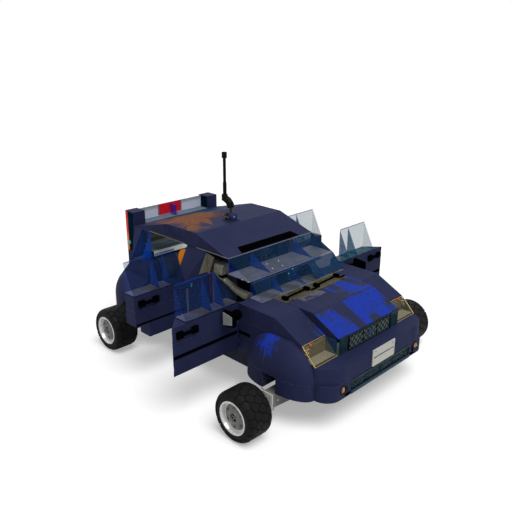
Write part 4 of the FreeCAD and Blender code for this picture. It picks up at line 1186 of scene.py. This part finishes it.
# %% Cushion helper
cloth = Finish("seat_cloth", rough=0.85, spec=0.08)
weave = cloth.wire.node("TexWave", {"wave_type": "BANDS", "bands_direction": "DIAGONAL"},
                        {"Vector": cloth.place, "Scale": 160.0, "Distortion": 1.5})
cloth.put("Base Color", cloth.mix(cloth.noise(14.0, 5.0).ramp(0.3, 0.7), srgb(62, 70, 88),
                                  srgb(84, 92, 108)))
cloth.bump(weave + cloth.noise(180.0), 0.35, 0.0008)


def cushion(name, low, high, crown, channels=(), axis=0):
    """A crowned cushion between two corners, with sewn channels across an axis."""
    low, high = Vector(low), Vector(high)
    pad = edit(block(name, low, high), None, (bpy.ops.mesh.subdivide, {"number_cuts": 11}))
    middle, half = (low + high) / 2, (high - low) / 2
    for vertex in pad.data.vertices:
        share = [(vertex.co[i] - middle[i]) / half[i] for i in range(3)]
        for i in range(3):
            others = [share[j] for j in range(3) if j != i]
            swell = (1 - others[0] ** 4) * (1 - others[1] ** 4)
            vertex.co[i] = middle[i] + share[i] * (half[i] - crown + crown * swell)
        for place in channels:
            near = abs(share[axis] - place)
            if near < 0.10:
                for i in {0, 1, 2} - {axis}:
                    vertex.co[i] -= share[i] * 0.5 * crown * (1 - near / 0.10)
    smooth(modify(pad, "SUBSURF", levels=1, render_levels=1), 60)
    return fitted(pad, cloth)


print("cushion ready")

# %% Front seats
for side, x in (("right", -0.40), ("left", 0.40)):
    cushion(side + "_seat_cushion", (x - 0.235, -0.21, 0.58),
                         (x + 0.235, 0.27, 0.728), 0.03, (-0.33, 0.33), 1)
    cushion(side + "_seat_back", (x - 0.235, 0.262, 0.66), (x + 0.235, 0.388, 1.17), 0.024,
            (-0.4, 0.1, 0.6), 2)
    cushion(side + "_head_rest", (x - 0.115, 0.288, 1.19), (x + 0.115, 0.388, 1.326), 0.02)
    shell = bar(side + "_seat_box", (x - 0.20, -0.18, 0.43), (x + 0.20, 0.36, 0.59), 0.02, 3)
    fitted(inset(shell, "-y", (0.03, -0.01)), black)
    posts = joined(side + "_head_posts", [
        drum("post", (x + dx, 0.338, 1.14), (x + dx, 0.338, 1.21), 0.008, 16)
        for dx in (-0.05, 0.05)])
    fitted(smooth(posts), bare_metal)
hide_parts("front_seats")


# %% Rear bench
def half_drum(name, low, high, radius, cut):
    """The front half of a level drum behind the bench."""
    return slice_off(drum(name, (low, 1.40, 0.978), (high, 1.40, 0.978), radius, 48),
                     (0, cut, 0), (0, 1, 0))


bench = cushion("bench_cushion", (-0.655, 0.722, 0.56), (0.655, 1.20, 0.728), 0.03, (-0.34, 0.34))
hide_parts("rear_bench")
plinth = bar("bench_plinth", (-0.64, 0.76, 0.43), (0.64, 1.38, 0.58), 0.02, 3)
fitted(inset(plinth, "-y", (0.03, -0.01)), black)
roll = soften(half_drum("bench_back", -0.74, 0.74, 0.198, 1.398), 0.02, 3)
lower = bar("bench_back_low", (-0.72, 1.23, 0.60), (0.72, 1.396, 0.98), 0.03, 3)
roll = smooth(joined("bench_back", [roll, lower]))
fitted(roll, cloth)
seams = [half_drum("seam", x - 0.004, x + 0.004, 0.2005, 1.396) for x in (-0.37, 0.0, 0.37)]
caps = [half_drum("cap", x, x + 0.006, 0.199, 1.396) for x in (-0.741, 0.735)]
fitted(smooth(joined("bench_seams", seams + caps)),
       mottled("seam_dark", (40, 46, 58), 0.2, 30.0, rough=0.8))

# %% Parcel shelf and divider
# The shelf strips are painted light: each colour is raised well above the strip's own darker tone,
# to stand for light inside the shaded cab.
for name, low, high, tone in (("shelf_olive", 1.405, 1.545, (120, 132, 116)),
                              ("shelf_teal", 1.55, 1.68, (150, 184, 216)),
                              ("shelf_dark", 1.685, 1.79, (226, 250, 232)),
                              ("shelf_rear", 1.795, 1.93, (160, 164, 120))):
    fitted(panel(name, (-0.76, low, 1.262), (0.76, high, 1.280), "z", 0.012, -0.003),
           mottled(name, tone, 0.2, 6.0, 0.3, rough=0.6))
# The lip's near-white is painted light too, lighter than its own light teal-grey.
fitted(panel("shelf_lip", (-0.76, 1.386, 1.205), (0.76, 1.402, 1.280), "-y", 0.008, -0.002),
       mottled("shelf_lip", (236, 255, 250), 0.1, 8.0, rough=0.6))
fitted(panel("cab_divider", (-0.78, 0.408, 0.45), (0.78, 0.416, 1.555), "-y", 0.03, -0.002, 0.002),
       mottled("divider_dark", (14, 24, 44), 0.3, 6.0, 0.2))
fitted(joined("divider_posts", [
    bar("post", (x - 0.055, 0.398, 0.45), (x + 0.055, 0.412, 1.55), 0.004) for x in (-0.29, 0.29)
] + [bar("rail", (-0.77, 0.400, z), (0.77, 0.412, z + 0.03)) for z in (1.10, 1.52)]),
       mottled("divider_frame", (58, 72, 104), 0.2, 20.0))

# %% [markdown]
# ## Dashboard and cabin trim
#
# The dashboard gets a hooded cluster with two dials, vents, a centre stack and a glovebox.
# A work lamp stands on a curved arm beside the front passenger, a padded orange pad hangs
# inside each pillar, and the gauges carry plain tick marks, with no words.

# %% Dashboard
hood_piece = block("cluster_hood", (0.24, -0.475, 1.14), (0.56, -0.40, 1.20))
shift(hood_piece, lambda co: co.y > -0.45 and co.z > 1.18, (0, 0, -0.02))
fitted(soften(hood_piece, 0.012, 3), black)
details, marks = [], []
for x in (0.32, 0.48):
    dial = drum("dial", (x, -0.446, 1.08), (x, -0.434, 1.085), 0.055)
    details.append(soften(inset(dial, facing("y", 0.8), (0.006, -0.004)), 0.001))
    for degrees in range(-30, 240, 30):
        angle = math.radians(degrees)
        tick_x, tick_z = x + 0.042 * math.cos(angle), 1.083 + 0.042 * math.sin(angle)
        marks.append(block("tick", (tick_x - 0.003, -0.434, tick_z - 0.003),
                           (tick_x + 0.003, -0.428, tick_z + 0.003)))
    marks.append(bar("needle", (x - 0.002, -0.432, 1.083), (x + 0.002, -0.428, 1.12), 0.0005))
fitted(joined("dial_marks", marks), white_dot)
for x in (-0.62, -0.18, 0.10, 0.70):
    details.append(panel("vent", (x - 0.06, -0.447, 1.06), (x + 0.06, -0.438, 1.12), "y", 0.008,
                         -0.004, 0.002))
    details += [block("slat", (x - 0.05, -0.443, z), (x + 0.05, -0.436, z + 0.004))
                for z in (1.072, 1.084, 1.096, 1.108)]
details.append(panel("centre_stack", (-0.14, -0.447, 0.72), (0.14, -0.425, 1.03), "y", 0.02,
                     -0.004, 0.004))
details += [soften(drum("knob", (x, -0.43, z), (x, -0.414, z), 0.014, 16), 0.002)
            for z in (0.80, 0.87, 0.94) for x in (-0.07, 0, 0.07)]
details.append(panel("glovebox", (-0.62, -0.447, 0.80), (-0.24, -0.436, 0.99), "y", 0.012, -0.003,
                     0.004))
fitted(joined("dash_details", details), black)

# %% Work lamp on its arm
lamp_grey = mottled("lamp_grey", (128, 127, 116), 0.2, 12.0, 0.2, rough=0.45, spec=0.3)
bends = [Vector((-0.68, y, z)) for y, z in (
    (0.216, 1.290), (0.10, 1.245), (-0.016, 1.216), (-0.146, 1.176), (-0.256, 1.136),
    (-0.36, 1.122), (-0.456, 1.120))]
fitted(hose("lamp_arm", bends, 0.15, [0.026 + 0.006 * k for k in range(6)], 20, 0.006, 12),
       lamp_grey)
head = bar("lamp_head", (-0.765, -0.045, 1.290), (-0.615, 0.125, 1.442), 0.036, 5)
fitted(smooth(inset(head, "-y", (0.02, -0.008))), lamp_grey)
# The white ball on the lamp head is a painted highlight.
fitted(smooth(ball("lamp_glint", (-0.735, -0.03, 1.42), 0.014)), white_dot)
fitted(smooth(bar("lamp_neck", (-0.72, -0.02, 1.245), (-0.64, 0.07, 1.292), 0.012, 3)), black)
fitted(panel("lamp_housing", (-0.72, 0.14, 1.290), (-0.64, 0.255, 1.440), "-x", 0.02, -0.02,
             0.006), lamp_grey)
fitted(bar("lamp_stand", (-0.70, 0.17, 0.46), (-0.66, 0.225, 1.292), 0.006), lamp_grey)
# These white domes along the arm are painted highlights.
highlight_spots = [ball("spot", spot, 0.008, 12, 8) for spot in (
    (-0.712, -0.15, 1.20), (-0.718, -0.19, 1.185), (-0.715, -0.05, 1.235))]
fitted(smooth(joined("lamp_arm_painted_highlights", highlight_spots)), white_dot)

# %% Orange pad inside the pillar
pad = drum("right_pillar_pad", (-0.776, 0.672, 1.337), (-0.742, 0.672, 1.337), 0.153, 48)
pad = smooth(soften(inset(pad, "x", (0.03, 0.006)), 0.010, 3))
both_sides(bar("right_pad_bracket", (-0.784, 0.50, 1.30), (-0.770, 0.64, 1.37)), black)
both_sides(pad, mottled("orange_vinyl", (255, 136, 4), 0.15, 8.0, 0.2, rough=0.4))

# %% Studs and webs on the windshield
def glass_studs(name, radius, finish, *places):
    """Small domes on the glass, at points of the grid."""
    domes = [ball("stud", grid(*place), radius, 12, 8) for place in places]
    fitted(smooth(joined(name, domes)), finish)


glass_studs("glass_white_studs", 0.007, white_dot, (-1.72, -2.19, 5.41),
            (-0.73, -2.26, 5.37), (-0.77, -2.65, 5.18), (-1.65, -2.61, 5.20),
            (-4.0, -2.29, 5.0), (-4.0, -2.81, 5.0))
webs = [block("web", (x - 0.003, -0.50, 1.184), (x + 0.003, -0.24, 1.370)) for x in (-0.39, 0.41)]
front_web = block("web", (0.0, -0.79, 1.184), (0.006, -0.50, 1.370))
webs.append(shift(front_web, lambda co: co.y < -0.7 and co.z > 1.3, (0, 0, -0.180)))
fitted(joined("windshield_webs", webs),
       mottled("web_blue", (36, 72, 200), 0.2, 6.0, 0.05, rough=0.3, spec=0.02, alpha=0.42))
glass_studs("glass_cyan_studs", 0.009, cyan, (-0.28, -3.08, 4.92), (-0.80, -3.21, 4.79))

# %% [markdown]
# ## Studio
#
# The floor is one pale plane. The world is a plain soft light, and it looks white to the
# camera, to reflections and through glass, so the background needs no bright lamp. One
# broad lamp above the nose makes the tops lighter than the sides, and a weak one inside the
# cab stands for the light that its pale lining would pass round. The floor adds a little
# of its own light to camera rays only, so that it meets the white background without a
# line and still keeps the car's shadow.

# %% Floor
floor = primitive(bpy.ops.mesh.primitive_plane_add, "studio_floor", size=60)
pale = Finish("pale_floor", rough=1.0, spec=0.0)
pale.shader.inputs["Base Color"].default_value = (0.82, 0.82, 0.82, 1)
pale.shader.inputs["Emission Strength"].default_value = 1.0
pale.put("Emission Color", pale.wire.node("LightPath") * 0.34)
floor.data.materials.append(pale.material)
print("floor is", round(floor.dimensions.x), "m wide")

# %% World and lamps
world = bpy.data.worlds.new("studio")
bpy.context.scene.world = world
world.use_nodes = True
path = Wire(world.node_tree).node("LightPath").socket.node.outputs
camera_ray, glossy_ray, glass_ray = [Wire(world.node_tree, path[name]) for name in (
    "Is Camera Ray", "Is Glossy Ray", "Is Transmission Ray")]
bright = camera_ray.either(glossy_ray).either(glass_ray)
background = world.node_tree.nodes["Background"]
background.inputs["Color"].default_value = (1, 1, 1, 1)
world.node_tree.links.new((bright * 0.62 + 0.38).socket, background.inputs["Strength"])


def lamp(name, kind, energy):
    made = bpy.data.objects.new(name, bpy.data.lights.new(name, kind))
    made.data.energy = energy
    bpy.context.scene.collection.objects.link(made)
    return made


key = lamp("key", "SUN", 2.0)
key.data.angle = math.radians(40)
key.matrix_world = Vector((-0.10, -0.42, 0.90)).to_track_quat("Z", "Y").to_matrix().to_4x4()
cab = lamp("cab", "POINT", 5.5)
cab.data.shadow_soft_size = 0.2
cab.location = (0, 1.0, 1.45)
cab.visible_camera = False
print("studio ready")
